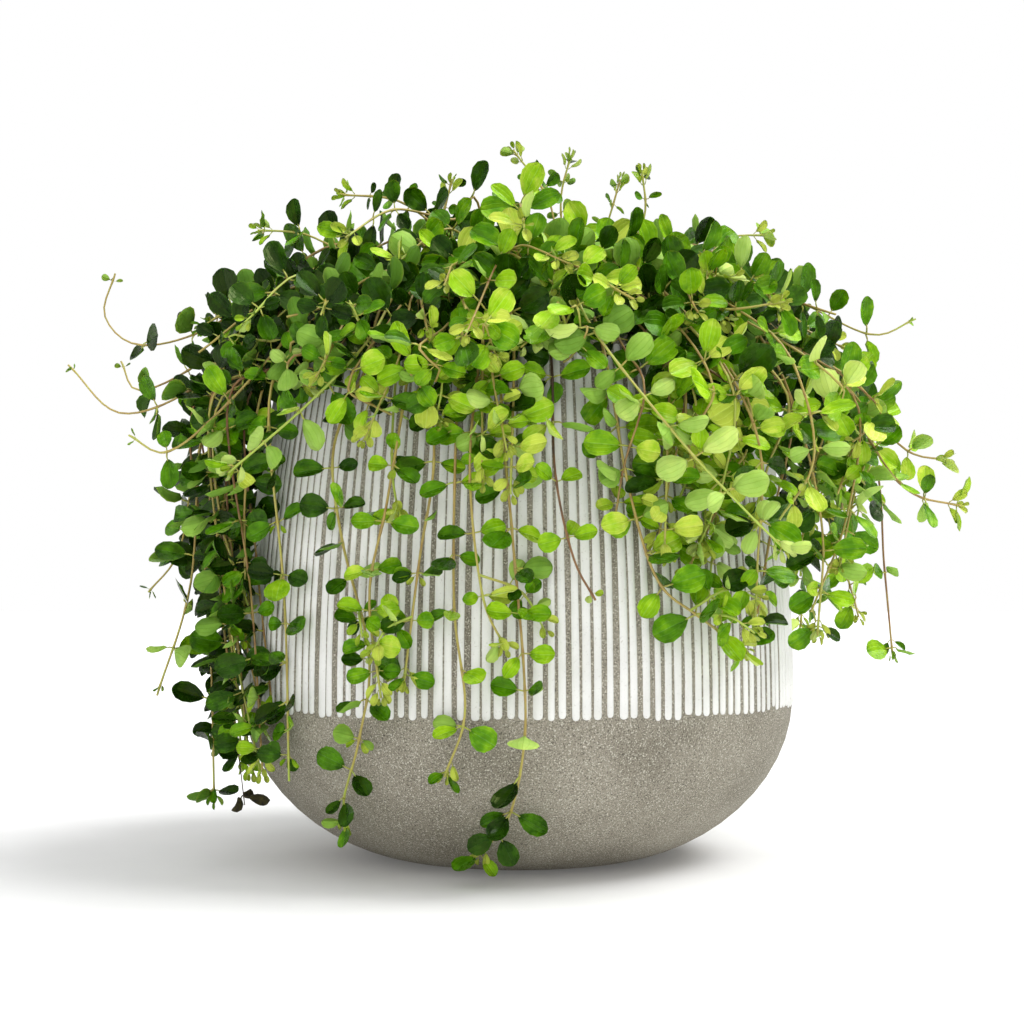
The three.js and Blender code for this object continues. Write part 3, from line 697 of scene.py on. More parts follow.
def bendMesh(piece, angle, length):
    # The bend modifier turns what lies along X towards Y: a blade's width, or its length, is set that way first
    swap = Matrix(((0, 1, 0, 0), (0, 0, 1, 0), (1, 0, 0, 0), (0, 0, 0, 1))) if length else \
        Matrix(((1, 0, 0, 0), (0, 0, 1, 0), (0, -1, 0, 0), (0, 0, 0, 1)))
    piece.data.transform(swap)
    applyModifier(piece, "SIMPLE_DEFORM", deform_method="BEND", deform_axis="Z", angle=angle)
    piece.data.transform(swap.transposed())


def modelBlade(shape, skins):
    columns, rows, width = shape["columns"], shape["rows"], shape["width"]
    bpy.ops.mesh.primitive_grid_add(x_subdivisions=columns, y_subdivisions=rows, size=1, calc_uvs=True)
    blade = bpy.context.object
    blade.data.uv_layers[0].name = "leafMap"

    def shift(test, *way):
        selectVertices(blade, test)
        bpy.ops.transform.translate(value=way)

    for row, (place, wide) in enumerate(zip(shape["rowPlaces"], shape["rowWidths"])):
        old = row / rows - 0.5
        selectVertices(blade, lambda co: abs(co.y - old) < 0.01 and abs(co.z) < 0.01)
        bpy.ops.transform.resize(value=(wide * width, 1, 1))
        bpy.ops.transform.translate(value=(0, place - 0.5 - old, 1))  # lifted, so that no later row picks it
    shift(lambda co: True, 0, 0, -1)
    for past, drop in shape["tipDrops"]:
        shift(lambda co: abs(co.x) > past * width and co.y > 0.49, 0, -drop, 0)
    shift(lambda co: abs(co.x) < 0.001 and -0.45 < co.y < 0.45, 0, 0, -shape["fold"])
    toMode("OBJECT")
    # Closed along the outline, fleshy in the middle
    inner = blade.vertex_groups.new(name="inner")
    for vertex in blade.data.vertices:
        row, column = divmod(vertex.index, columns + 1)
        inner.add([vertex.index], 1 if 0 < column < columns and 0 < row < rows else 0, "REPLACE")
    for skin in skins:
        blade.data.materials.append(skin)
    applyModifier(blade, "SOLIDIFY", thickness=shape["thickness"], offset=-1, vertex_group="inner",
                  use_rim=False, material_offset=1)
    applyModifier(blade, "WELD", merge_threshold=0.001)
    blade.vertex_groups.clear()
    bendMesh(blade, shape["cup"], length=False)
    bendMesh(blade, shape["curl"], length=True)
    lowest = min((vertex.co for vertex in blade.data.vertices), key=lambda co: co.y)
    blade.data.transform(Matrix.Translation((0, shape["stalk"] - lowest.y, -lowest.z - shape["thickness"] / 4)))
    return blade


def modelStalk(shape, skin):
    # A short tube that bends up into the blade
    bpy.ops.mesh.primitive_circle_add(vertices=3, radius=shape["stalkRadius"], fill_type="NGON",
                                      rotation=(math.pi / 2, 0, 0), location=(0, -shape["stalkBack"], 0))
    stalk = bpy.context.object
    toMode("EDIT")
    bpy.ops.mesh.select_all(action="SELECT")
    bend = shape["stalkBend"] * shape["stalk"]
    step = (shape["stalk"] + shape["stalkBack"] + shape["stalkEnd"]) / 2
    for rise in (bend, -bend):
        bpy.ops.mesh.extrude_region_move(TRANSFORM_OT_translate={"value": (0, step, rise)})
    bpy.ops.transform.resize(value=(0.8, 1, 0.5))
    faceOut()
    stalk.data.materials.append(skin)
    return stalk


def modelLeaf(name, kind):
    shape = {**leafShape, **kind}
    dead = name == "withered"
    blade = modelBlade(shape, (deadSkin, deadSkin) if dead else (topSkin, underSkin))
    leaf = joinPieces([blade, modelStalk(shape, deadSkin if dead else stemSkin)], "leaf_" + name)
    smooth(130)
    leaf.data.attributes.new("tone", "FLOAT", "POINT")
    return leaf


leafModels = {name: modelLeaf(name, kind) for name, kind in leafKinds.items()}
stalkPoints = {}
for name, leaf in leafModels.items():
    stalkPoints[name] = np.zeros(len(leaf.data.vertices), bool)
    for face in leaf.data.polygons:
        if leaf.material_slots[face.material_index].material == stemSkin:
            stalkPoints[name][list(face.vertices)] = True
print("Leaves are modelled:", {name: len(leaf.data.polygons) for name, leaf in leafModels.items()})

# The plant's rule, as in the solids. Millimetres here, until a piece is placed
stem = {"rootRadius": 1.15, "tipRadius": 0.8, "sink": 10, "twist": 0.35, "sides": 4, "sampleStep": 1.5}
planting = {"radius": 66, "count": 57, "widest": 52}
leafSize = {"length": 12, "widthShare": 0.9, "stalk": 2.4}
leafPose = {"lean": (0, 0.7), "outward": (0.4, 1.1), "upward": (0.15, 0.8), "sideways": (-0.5, 0.5)}
whorl = {"pitch": 54, "firstAt": 14, "leaves": 2, "thirdLeaf": 0.3, "clear": 2.5, "sizes": (0.8, 1.12),
         "tipSize": 0.72, "tipLength": 90}
clearance = {"cell": 2, "leaf": 1.7, "stem": 1.4, "floor": 1.4, "ownStem": 1.2, "ownLeaf": 1.9}
search = {"lifts": 7, "liftStep": 2.5, "turns": 9, "turnStep": 2.5, "leafTries": 24, "triesPerSize": 8,
          "shrinkStep": 0.12, "sides": (0, 2, 1, 3)}
joint = {"least": 6, "bend": 0.5, "most": 44}  # where a straight run of stem ends: mm, radians, mm
seed = 23

# Each point is [azimuth in degrees, distance from the pot's axis, height]
routes = {
    "front_left": [[238, 90, 197], [239, 99, 178], [234, 106, 150], [237, 109, 120],
                   [243, 109, 80], [241, 109, 52], [233, 99, 30], [229, 91, 19]],
    "front_short": [[247, 90, 197], [246, 99, 178], [247, 107, 145], [249, 110, 126]],
    "front_b": [[253, 90, 198], [253, 99, 178], [255, 107, 142], [253, 110, 112], [250, 110, 70]],
    "front_c": [[260, 90, 198], [259, 100, 178], [259, 108, 140], [259, 109, 95],
                [261, 110, 62], [257, 107, 40]],
    "front_f": [[265, 90, 200], [263, 101, 180], [262, 112, 140], [264, 111, 100], [268, 111, 82]],
    "front_d": [[268, 74, 218], [268, 99, 198], [267, 106, 165], [269, 110, 120],
                [271, 110, 75], [271, 108, 50], [268, 95, 25], [260, 80, 10]],
    "front_e": [[274, 88, 204], [276, 104, 178], [276, 114, 140], [279, 114, 112], [283, 112, 98]],
    "right_low": [[285, 88, 204], [286, 106, 176], [288, 116, 135], [293, 116, 105],
                  [301, 115, 93], [313, 114, 81]],
    "right_pale": [[280, 84, 212], [283, 114, 184], [294, 130, 148], [302, 136, 128], [309, 139, 114]],
    "right_dark": [[297, 86, 214], [302, 116, 186], [307, 131, 150], [310, 124, 108], [311, 121, 88]],
    "right_drop": [[318, 92, 210], [322, 116, 176], [328, 125, 126], [330, 122, 85]],
    "right_hang": [[350, 78, 220], [350, 116, 190], [349, 135, 152], [350, 139, 110], [350, 142, 77]],
    "right_far": [[334, 84, 222], [337, 122, 178], [344, 145, 140], [349, 167, 132]],
    "right_far_b": [[10, 86, 226], [5, 124, 190], [4, 151, 158], [3, 169, 152]],
    "right_curl": [[20, 86, 232], [11, 116, 216], [5, 140, 202], [4, 157, 208]],
    "right_top": [[293, 78, 210], [300, 98, 200], [306, 112, 196], [312, 128, 198]],
    "left_curtain": [[218, 86, 208], [215, 106, 182], [213, 114, 140], [210, 112, 105], [207, 111, 84]],
    "left_long": [[187, 82, 216], [190, 110, 178], [190, 119, 115], [190, 117, 70], [190, 116, 22]],
    "left_long_b": [[203, 82, 212], [204, 108, 172], [203, 117, 115], [201, 112, 66], [198, 106, 22]],
    "left_pale": [[242, 84, 206], [242, 106, 185], [235, 121, 163], [226, 138, 140]],
    "left_curl": [[180, 88, 222], [184, 122, 200], [184, 146, 195], [184, 158, 206], [184, 154, 222]],
    "left_curl_b": [[207, 88, 216], [201, 118, 180], [194, 149, 166], [192, 169, 184]],
    "left_curl_c": [[160, 92, 226], [166, 132, 194], [169, 156, 182], [169, 164, 194]],
    "left_curl_d": [[222, 92, 206], [211, 122, 166], [204, 138, 150], [201, 150, 156]],
    "left_tip": [[170, 92, 218], [174, 124, 164], [176, 133, 118], [176, 146, 100]],
    "left_tip_b": [[196, 84, 224], [196, 118, 172], [195, 125, 104], [191, 137, 62]],
    "top_sprig_a": [[350, 16, 228], [0, 12, 252], [170, 2, 272]],
    "top_sprig_b": [[50, 30, 236], [55, 30, 258], [50, 33, 276]],
    "top_sprig_c": [[0, 40, 226], [0, 49, 246], [0, 48, 264]],
    "top_sprig_d": [[54, 54, 236], [50, 60, 258], [47, 62, 271]],
    "top_sprig_e": [[230, 28, 226], [208, 48, 246], [197, 70, 250]],
    "top_sprig_f": [[162, 34, 236], [158, 28, 263]],
    "top_left": [[199, 66, 222], [193, 84, 234], [191, 101, 235]],
    "top_right": [[8, 64, 224], [7, 82, 239], [6, 99, 241]],
}
# Those that grow by rule: ranges in mm, drifts and turns in degrees
shoots = {"count": 9, "firstTurn": 250, "drift": (-9, 9), "start": (12, 40), "top": (218, 240), "reach": (84, 108),
          "startDrop": 6, "endDrop": 16}
hangers = {"count": 11, "from": 26, "over": 128, "drift": (-9, 9), "reach": (122, 152), "crest": (212, 234),
           "end": (34, 125), "start": 82, "shoulder": 158}


def draw(*keys):
    value = seed
    for key in keys:
        value = ((value ^ (key + 0x9E3779B9)) * 0x85EBCA6B) & 0xFFFFFFFF
        value ^= value >> 13
        value = (value * 0xC2B2AE35) & 0xFFFFFFFF
        value ^= value >> 16
    return value / 4294967296


def between(limits, *keys):
    low, high = limits
    return low + (high - low) * draw(*keys)


def crossed(a, b):
    return np.array([a[1] * b[2] - a[2] * b[1], a[2] * b[0] - a[0] * b[2], a[0] * b[1] - a[1] * b[0]])


def polar(azimuth, distance, height):
    turn = math.radians(azimuth)
    return np.array([distance * math.cos(turn), distance * math.sin(turn), height])


def unit(vector):
    return vector / np.linalg.norm(vector)


taken = np.full((300, 300, 200), -1, np.int16)  # the trail in each small cell of space
firstCell = np.array([150, 150, 20])
neighbours = np.array([(i, j, k) for i in (-1, 0, 1) for j in (-1, 0, 1) for k in (-1, 0, 1)])


def cellsOf(points):
    return np.floor(points / clearance["cell"]).astype(int) + firstCell


def isFree(points, trail):
    found = taken[tuple((cellsOf(points)[:, None, :] + neighbours[None]).reshape(-1, 3).T)]
    return bool(np.all((found == -1) | (found == trail)))


def take(points, trail):
    taken[tuple(cellsOf(points).T)] = trail


def crowding(points):
    return float(np.mean(taken[tuple(cellsOf(points).T)] >= 0))


def potsRadius(height):
    rim = np.where(height > pot["height"], nursery["rimRadius"] + nursery["lip"], potRadius(height) + 0.8)
    return np.where(height > nurseryTop, 0, rim)


def clearOfPots(points, margin):
    distance = np.hypot(points[:, 0], points[:, 1])
    height = points[:, 2]
    within = (distance < nursery["rimRadius"] - nursery["wall"] - margin) & (height > soilTop + margin)
    widest = np.max([potsRadius(height + step) for step in (-margin, 0, margin)], axis=0)
    outside = (distance > np.where(widest > 0, widest + margin, 0)) & (height > clearance["floor"])
    return bool(np.all(within | outside))


places = [polar(i * goldenTurn, planting["radius"] * math.sqrt((i + 0.5) / planting["count"]), soilTop)
          for i in range(planting["count"])]


def takePlace(toward):
    goal = np.array([toward[0], toward[1], soilTop])
    flat = math.hypot(goal[0], goal[1])
    goal[:2] *= min(1, planting["widest"] / max(flat, 1))
    best = min(range(len(places)), key=lambda i: np.linalg.norm(places[i] - goal))
    return places.pop(best)


def smoothPoints(points, steps):
    # Catmull-Rom through the points
    count = len(points)
    result = []
    for i in range(steps + 1):
        place = (count - 1) * i / steps
        k = min(int(place), count - 2)
        t = place - k
        p1, p2 = points[k], points[k + 1]
        p0 = points[k - 1] if k > 0 else 2 * points[0] - points[1]
        p3 = points[k + 2] if k + 2 < count else 2 * points[-1] - points[-2]
        t0, t1 = 0.5 * (p2 - p0), 0.5 * (p3 - p1)
        result.append(p1 + t0 * t + (-3 * p1 + 3 * p2 - 2 * t0 - t1) * t ** 2 + (2 * p1 - 2 * p2 + t0 + t1) * t ** 3)
    return result


def runsOf(points):
    steps = np.linalg.norm(np.diff(points, axis=0), axis=1)
    return np.concatenate([[0], np.cumsum(steps)])


def risingPath(place, through, lift):
    # Up out of the soil, over the rim and on through the route's points
    first = through[0]
    middle = place + (first - place) * 0.45
    middle[2] = max(soilTop + 20, first[2] + 4) + lift
    foot, ground = [np.array([place[0], place[1], soilTop + rise]) for rise in (-stem["sink"], 3)]
    points = [ground, middle, first + np.array([0, 0, lift * 0.6]), *through[1:]]
    path = np.array([foot, *smoothPoints(points, (len(points) - 1) * 12)])
    return path, runsOf(path)


def along(path, runs, wished):
    return np.stack([np.interp(wished, runs, path[:, axis]) for axis in range(3)], axis=1)


def aboveSoil(path, runs):
    return along(path, runs, np.arange(stem["sink"] + 2, runs[-1], stem["sampleStep"]))


def findPath(trail, place, points):
    for attempt in range(search["lifts"] * search["turns"]):
        step, lift = divmod(attempt, search["lifts"])
        shift = (1 if step % 2 else -1) * math.ceil(step / 2) * search["turnStep"]
        through = [polar(azimuth + shift, distance, height) for azimuth, distance, height in points]
        path, runs = risingPath(place, through, lift * search["liftStep"])
        samples = aboveSoil(path, runs)
        if clearOfPots(samples, clearance["stem"]) and isFree(samples, trail):
            take(samples, trail)
            return path, runs
    return None


def stemRadius(run, length):
    return stem["rootRadius"] + (stem["tipRadius"] - stem["rootRadius"]) * (run / length) ** 0.7


def turned(vector, axis, angle):
    return (vector * math.cos(angle) + crossed(axis, vector) * math.sin(angle)
            + axis * np.dot(axis, vector) * (1 - math.cos(angle)))


def bonesOf(path, runs):
    length = runs[-1]
    picked = [0, 1]
    heading = np.array([0, 0, 1.0])
    for i in range(2, len(path) - 1):
        now = unit(path[i + 1] - path[i])
        gone = runs[i] - runs[picked[-1]]
        angle = math.acos(max(-1, min(1, float(np.dot(now, heading)))))
        roomy = gone > joint["least"] and length - runs[i] > joint["least"]
        if roomy and (angle > joint["bend"] or gone > joint["most"]):
            picked.append(i)
            heading = now
    picked.append(len(path) - 1)
    points = path[picked]
    across = np.array([1.0, 0, 0])
    bones = []
    for i, (point, run) in enumerate(zip(points, runsOf(points))):
        before, after = points[max(i - 1, 0)], points[min(i + 1, len(points) - 1)]
        ahead = np.array([0, 0, 1.0]) if i == 0 else unit(after - before)
        across = unit(across - ahead * np.dot(across, ahead))
        across = turned(across, ahead, stem["twist"] if i > 1 else 0)
        bones.append({"point": point, "run": run, "across": across, "other": crossed(ahead, across)})
    return bones


def alongBones(bones, run):
    after = max(1, next(i for i, bone in enumerate(bones) if bone["run"] >= run))
    start, end = bones[after - 1], bones[after]
    share = (run - start["run"]) / (end["run"] - start["run"])
    mixed = {key: start[key] + (end[key] - start[key]) * share for key in ("point", "across", "other")}
    return {"point": mixed["point"], "across": unit(mixed["across"]), "other": unit(mixed["other"]),
            "ahead": unit(end["point"] - start["point"])}


def sideOf(here, angle):
    return here["across"] * math.cos(angle) + here["other"] * math.sin(angle)


def leafFrame(here, run, length, turns, size, keys):
    out = sideOf(here, turns * 2 * math.pi)
    root = here["point"] + out * stemRadius(run, length) * math.cos(math.pi / stem["sides"])
    heading = unit(out + here["ahead"] * between(leafPose["lean"], *keys, 3))
    face = unit(np.array([root[0], root[1], 0])) * between(leafPose["outward"], *keys, 4)
    face[2] += between(leafPose["upward"], *keys, 5)
    face[0] += between(leafPose["sideways"], *keys, 6)
    face[1] += between(leafPose["sideways"], *keys, 7)
    face = unit(face - heading * np.dot(face, heading))
    return {"root": root, "heading": heading, "face": face, "width": crossed(heading, face),
            "run": run, "size": size}


# Where a blade is tested: share of its length, share of its half width
bladeMarks = np.array([(a, w * math.sqrt(max(0, 1 - (2 * a - 1) ** 2)))
                       for a in (0.08, 0.29, 0.5, 0.71, 0.92) for w in (-0.9, -0.45, 0, 0.45, 0.9)])
nearMarks = 10  # the first of them, which lie near the stem


def leafSamples(place):
    blade = leafSize["length"] * place["size"]
    reach = leafSize["stalk"] + blade * bladeMarks[:, :1]
    side = blade * leafSize["widthShare"] / 2 * bladeMarks[:, 1:]
    return place["root"] + place["width"] * side + place["heading"] * reach


def findLeaf(bones, run, trail, index, firstSide, size, own):
    length = bones[-1]["run"]
    for attempt in range(search["leafTries"]):
        side = (firstSide + search["sides"][attempt % 4]) % stem["sides"]
        shrink = 1 - search["shrinkStep"] * (attempt // search["triesPerSize"])
        if (run, side) in own["places"]:
            continue
        place = leafFrame(alongBones(bones, run), run, length, (side + 0.5) / stem["sides"], size * shrink,
                          (trail, index, attempt))
        samples = leafSamples(place)
        if not clearOfPots(samples, clearance["leaf"]) or not isFree(samples, trail):
            continue
        apart = np.linalg.norm(samples[:, None] - own["spots"][None], axis=2)
        needed = np.full(apart.shape, clearance["ownLeaf"])
        needed[:nearMarks, own["stem"]] = clearance["ownStem"]
        if np.all(apart > needed):
            take(samples, trail)
            own["spots"] = np.concatenate([own["spots"], samples])
            own["stem"] = np.concatenate([own["stem"], np.zeros(len(samples), bool)])
            own["places"].append((run, side))
            return place
    return None


def whorlRuns(bones):
    runs = []
    wished = bones[-1]["run"] - whorl["clear"]
    while wished > stem["sink"] + whorl["firstAt"]:
        near = next((bone for bone in bones if abs(bone["run"] - wished) < whorl["clear"]), None)
        runs.insert(0, near["run"] - whorl["clear"] if near else wished)
        wished -= whorl["pitch"]
    return runs


def leavesOf(bones, trail):
    length = bones[-1]["run"]
    spots = np.array([alongBones(bones, run)["point"] for run in np.arange(0, length, stem["sampleStep"])])
    own = {"spots": spots, "stem": np.ones(len(spots), bool), "places": []}
    found = []
    for i, run in enumerate(whorlRuns(bones)):
        firstSide = int(draw(trail, i, 1) * stem["sides"])
        count = whorl["leaves"] + (1 if draw(trail, i, 8) < whorl["thirdLeaf"] else 0)
        for j in range(count):
            nearTip = min(1, whorl["tipSize"] + (length - run) / whorl["tipLength"])
            size = between(whorl["sizes"], trail, i * 10 + j, 2) * nearTip
            place = findLeaf(bones, run, trail, i * 10 + j, firstSide + 2 * j, size, own)
            if place:
                found.append(place)
    return found


def shootRoute(index):
    azimuth = (shoots["firstTurn"] + index * goldenTurn) % 360
    drift, start, top, reach = [between(shoots[key], index, 21 + i)
                                for i, key in enumerate(("drift", "start", "top", "reach"))]
    return [[azimuth, start, top - shoots["startDrop"]], [azimuth + drift, (start + reach) / 2, top],
            [azimuth + 2 * drift, reach, top - shoots["endDrop"]]]


def hangingRoute(index):
    azimuth = hangers["from"] + index * hangers["over"] / (hangers["count"] - 1)
    drift, reach, crest, end = [between(hangers[key], index, 31 + i)
                                for i, key in enumerate(("drift", "reach", "crest", "end"))]
    shoulder = hangers["shoulder"]
    return [[azimuth, hangers["start"], crest], [azimuth + drift * 0.5, reach - 14, crest - 28],
            [azimuth + drift, reach, shoulder], [azimuth + drift, reach - 8, (shoulder + end) / 2],
            [azimuth + drift * 0.6, reach - 14, end]]


trails = [("trail_" + name, points) for name, points in routes.items()]
trails += [(f"trail_back_{i + 1}", hangingRoute(i)) for i in range(hangers["count"])]
trails += [(f"trail_mound_{i + 1}", shootRoute(i)) for i in range(shoots["count"])]
grown = []
for trail, (name, points) in enumerate(trails):
    place = takePlace(polar(*points[0]))
    found = findPath(trail, place, points)
    if found:
        grown.append((name, trail, *found))
print("Stem paths:", len(grown))

# Foliage: the stems' smooth paths, with whorls of leaves at their swollen joints
foliage = {
    "leafLengths": (8, 12.8), "leafCounts": {2: 0.48, 3: 0.36, 4: 0.16},  # blade, mm
    "kinds": {"round": 0.27, "oval": 0.3, "broad": 0.17, "spoon": 0.16, "folded": 0.1},
    "tipMarks": [(5.6, 6, 0.9), (2.6, 4.2, 1.4), (0.5, 3, 2.4)],  # from the tip, leaf length, forward tilt
    "crowding": 0.16, "tries": 7, "clear": 1.1, "seat": 0.8, "sideways": 0.5, "toLight": 0.9,
    "lift": (-0.2, 0.2), "faceOut": (0.6, 1.3), "faceSide": (-0.5, 0.5), "faceUp": (-0.1, 0.8),
    # Leaves of a whorl: they grow towards full size over a length of stem, in mm
    "leastGrown": 0.66, "growLength": 60, "turnSlack": (-0.35, 0.35), "tilt": (-0.25, 0.45), "tryShrink": 0.05,
    "budShare": 0.07, "budSize": (3, 4.8), "budTilt": 1.2, "budTone": 0.15, "tipSizes": (0.85, 1.15),
    "firstPitch": 0.5, "pitchGrowth": 1.22, "pitchSlack": (0.88, 1.12), "leafyFrom": 10, "leafyTo": 9,
    "widthSlack": (0.86, 1.06), "stalkTone": 0.86, "bareLeaf": 0.35,
}
# Tones run from 0, dark, to 1, light. Painted shade: leaves deep inside the mound, and leaves high on the mound,
# more so on its left side, are made darker
shade = {
    "spread": 0.18, "inner": 0.55, "mound": 0.22, "moundSideShade": 0.24, "moundFrom": 165, "moundOver": 25,
    "crest": 212, "depth": 20,
    "outer": [(0, 136), (60, 136), (130, 140), (200, 128), (222, 118), (275, 116), (304, 124), (330, 136),
              (360, 136)],  # how far the leaves reach by azimuth
    # Painted light: leaves on the sunny side, and on the side near the camera, are made lighter than on the far
    # side: a mean, then the strength and the turn of two waves
    "mean": 0.355, "sunny": (0.215, 0.35), "near": (0.3, 0.1),
}
stemForm = {
    "step": 3.6, "coarse": 1.5, "least": 0.6, "swelling": 0.32, "swellingLength": 1.3, "deadThickness": 0.5,
    "youngTone": 0.35, "youngLength": 35, "bands": (0.08, 17), "deadTone": -0.2,
}


def strandOf(name, path, runs, look, number):
    ahead = np.gradient(path, axis=0)
    ahead /= np.linalg.norm(ahead, axis=1)[:, None]
    across = np.zeros_like(path)
    side = np.array([1.0, 0, 0])
    for i, direction in enumerate(ahead):
        side = unit(side - direction * np.dot(side, direction))
        across[i] = side
    return {"name": name, "path": path, "runs": runs, "ahead": ahead, "across": across, "length": runs[-1],
            "leaves": [], "joints": [], "draws": np.random.default_rng(1000 + number), "number": number, **look}


def hereOn(strand, run):
    point, ahead, across = [along(strand[key], strand["runs"], [run])[0] for key in ("path", "ahead", "across")]
    ahead = unit(ahead)
    across = unit(across - ahead * np.dot(across, ahead))
    return {"point": point, "ahead": ahead, "across": across, "other": crossed(ahead, across)}


def pick(draws, shares):
    # One key of a dictionary whose values are the shares
    return list(shares)[draws.choice(len(shares), p=list(shares.values()))]


def toneAt(strand, run):
    young = math.exp(-(strand["length"] - run) / strand["freshLength"])
    point = hereOn(strand, run)["point"]
    outer = np.interp(azimuthOf(point) % 360, *zip(*shade["outer"]))
    below = np.clip((shade["crest"] - point[2]) / shade["depth"], 0, 1)
    inside = np.clip((outer - math.hypot(point[0], point[1])) / shade["depth"], 0, 1)
    mound = np.clip((point[2] - shade["moundFrom"]) / shade["moundOver"], 0, 1)
    # Painted shade: darker deep inside the mound, and high on the mound more on its left side than on its right
    dark = shade["inner"] * below * inside
    dark += mound * (shade["mound"] - shade["moundSideShade"] * unit(point)[0])
    return strand["tone"] + strand["fresh"] * young - dark + strand["draws"].normal(0, shade["spread"])


def addLeaf(strand, run, angle, size, tilt, kind=None, tone=None, check=True):
    draws = strand["draws"]
    here = hereOn(strand, run)
    out = sideOf(here, angle)
    root = here["point"] + out * stemRadius(run, strand["length"]) * foliage["seat"]
    away = unit(np.array([root[0], root[1], 0]))
    away = unit(away - np.array([0, foliage["toLight"] * abs(away[0]), 0]))
    heading = out - away * np.dot(out, away) * foliage["sideways"]
    heading = unit(heading + here["ahead"] * tilt + np.array([0, 0, draws.uniform(*foliage["lift"])]))
    face = away * draws.uniform(*foliage["faceOut"])
    face += np.array([draws.uniform(*foliage[key]) for key in ("faceSide", "faceSide", "faceUp")])
    face = unit(face - heading * np.dot(face, heading))
    if draws.uniform() < strand["underShare"]:
        face = -face
    leaf = {"root": root, "heading": heading, "face": face, "width": crossed(heading, face), "size": size,
            "kind": kind or pick(draws, foliage["kinds"]), "tone": toneAt(strand, run) if tone is None else tone}
    samples = leafSamples({**leaf, "size": size / leafSize["length"]})
    if not clearOfPots(samples, foliage["clear"]):
        return False
    if check and crowding(samples[nearMarks:]) > foliage["crowding"]:
        return False
    take(samples[5:], strand["number"])
    strand["leaves"].append(leaf)
    return True


def addWhorl(strand, run):
    draws = strand["draws"]
    count = pick(draws, foliage["leafCounts"])
    first = draws.uniform(0, 2 * math.pi)
    grown = min(1, foliage["leastGrown"] + (strand["length"] - run) / foliage["growLength"]) * strand["leafSize"]
    for i in range(count):
        for attempt in range(foliage["tries"]):
            angle = first + 2 * math.pi * i / count + draws.uniform(*foliage["turnSlack"]) * (1 + attempt)
            size = draws.uniform(*foliage["leafLengths"]) * grown * (1 - foliage["tryShrink"] * attempt)
            if addLeaf(strand, run, angle, size, draws.uniform(*foliage["tilt"])):
                break
    strand["joints"].append(run)
    if draws.uniform() < foliage["budShare"]:
        tone = strand["tone"] + 0.45 * strand["fresh"] + foliage["budTone"]
        for i in (0, 1):
            addLeaf(strand, run + 0.8, first + 0.8 + i * math.pi, draws.uniform(*foliage["budSize"]),
                    foliage["budTilt"], "young", tone, check=False)


def addTip(strand):
    draws = strand["draws"]
    if strand["bareTip"] + strand["withered"] >= 5 or draws.uniform() >= strand["tipShare"]:
        return
    angle = draws.uniform(0, 2 * math.pi)
    for back, long, tilt in foliage["tipMarks"]:
        for i in (0, 1):
            size = long * draws.uniform(*foliage["tipSizes"])
            tone = strand["tone"] + strand["fresh"] + draws.uniform(0, foliage["budTone"])
            addLeaf(strand, strand["length"] - back, angle + i * math.pi, size, tilt, "young", tone, check=False)
        angle += math.pi / 2


def leafOut(strand):
    # From the tip back: short steps first, then the full pitch
    start = strand["bareFoot"] + foliage["leafyFrom"]
    run = strand["length"] - foliage["leafyTo"] - strand["bareTip"]
    step, steps = strand["pitch"] * foliage["firstPitch"], []
    while run > start:
        steps.append(run)
        run -= step * strand["draws"].uniform(*foliage["pitchSlack"])
        step = min(step * foliage["pitchGrowth"], strand["pitch"])
    for run in steps:
        addWhorl(strand, run)
    addTip(strand)


def leafOutTrail(strand, bones, places):
    # Where the solids have leaves, the fine ones sit; more whorls stand between them
    draws, length = strand["draws"], strand["length"]
    for place in places:
        point = alongBones(bones, place["run"])["point"]
        near = int(np.argmin(np.linalg.norm(strand["path"] - point, axis=1)))
        run = min(float(strand["runs"][near]), length - 1)
        here = hereOn(strand, run)
        bare = length - run < strand["bareTip"]
        size = leafSize["length"] * place["size"] * (foliage["bareLeaf"] if bare else min(1, strand["leafSize"]))
        face = -place["face"] if draws.uniform() < strand["underShare"] else place["face"]
        out = unit(place["heading"] - here["ahead"] * np.dot(place["heading"], here["ahead"]))
        root = here["point"] + out * stemRadius(run, length) * foliage["seat"]
        tone = toneAt(strand, run)
        kind = "withered" if length - run < strand["withered"] else pick(draws, foliage["kinds"])
        strand["leaves"].append({"root": root, "heading": place["heading"], "face": face, "size": size,
                                 "width": crossed(place["heading"], face), "tone": tone, "kind": kind})
        strand["joints"].append(run)
    held = sorted(set(round(run, 1) for run in strand["joints"]))
    for before, after in zip([stem["sink"] + 4, *held], held):
        room = after - before
        more = int(room / strand["pitch"] - 0.35)
        for i in range(more):
            run = before + room * (i + 1) / (more + 1) + draws.uniform(-2, 2)
            if length - run > max(strand["bareTip"], strand["withered"]):
                addWhorl(strand, run)
    addTip(strand)


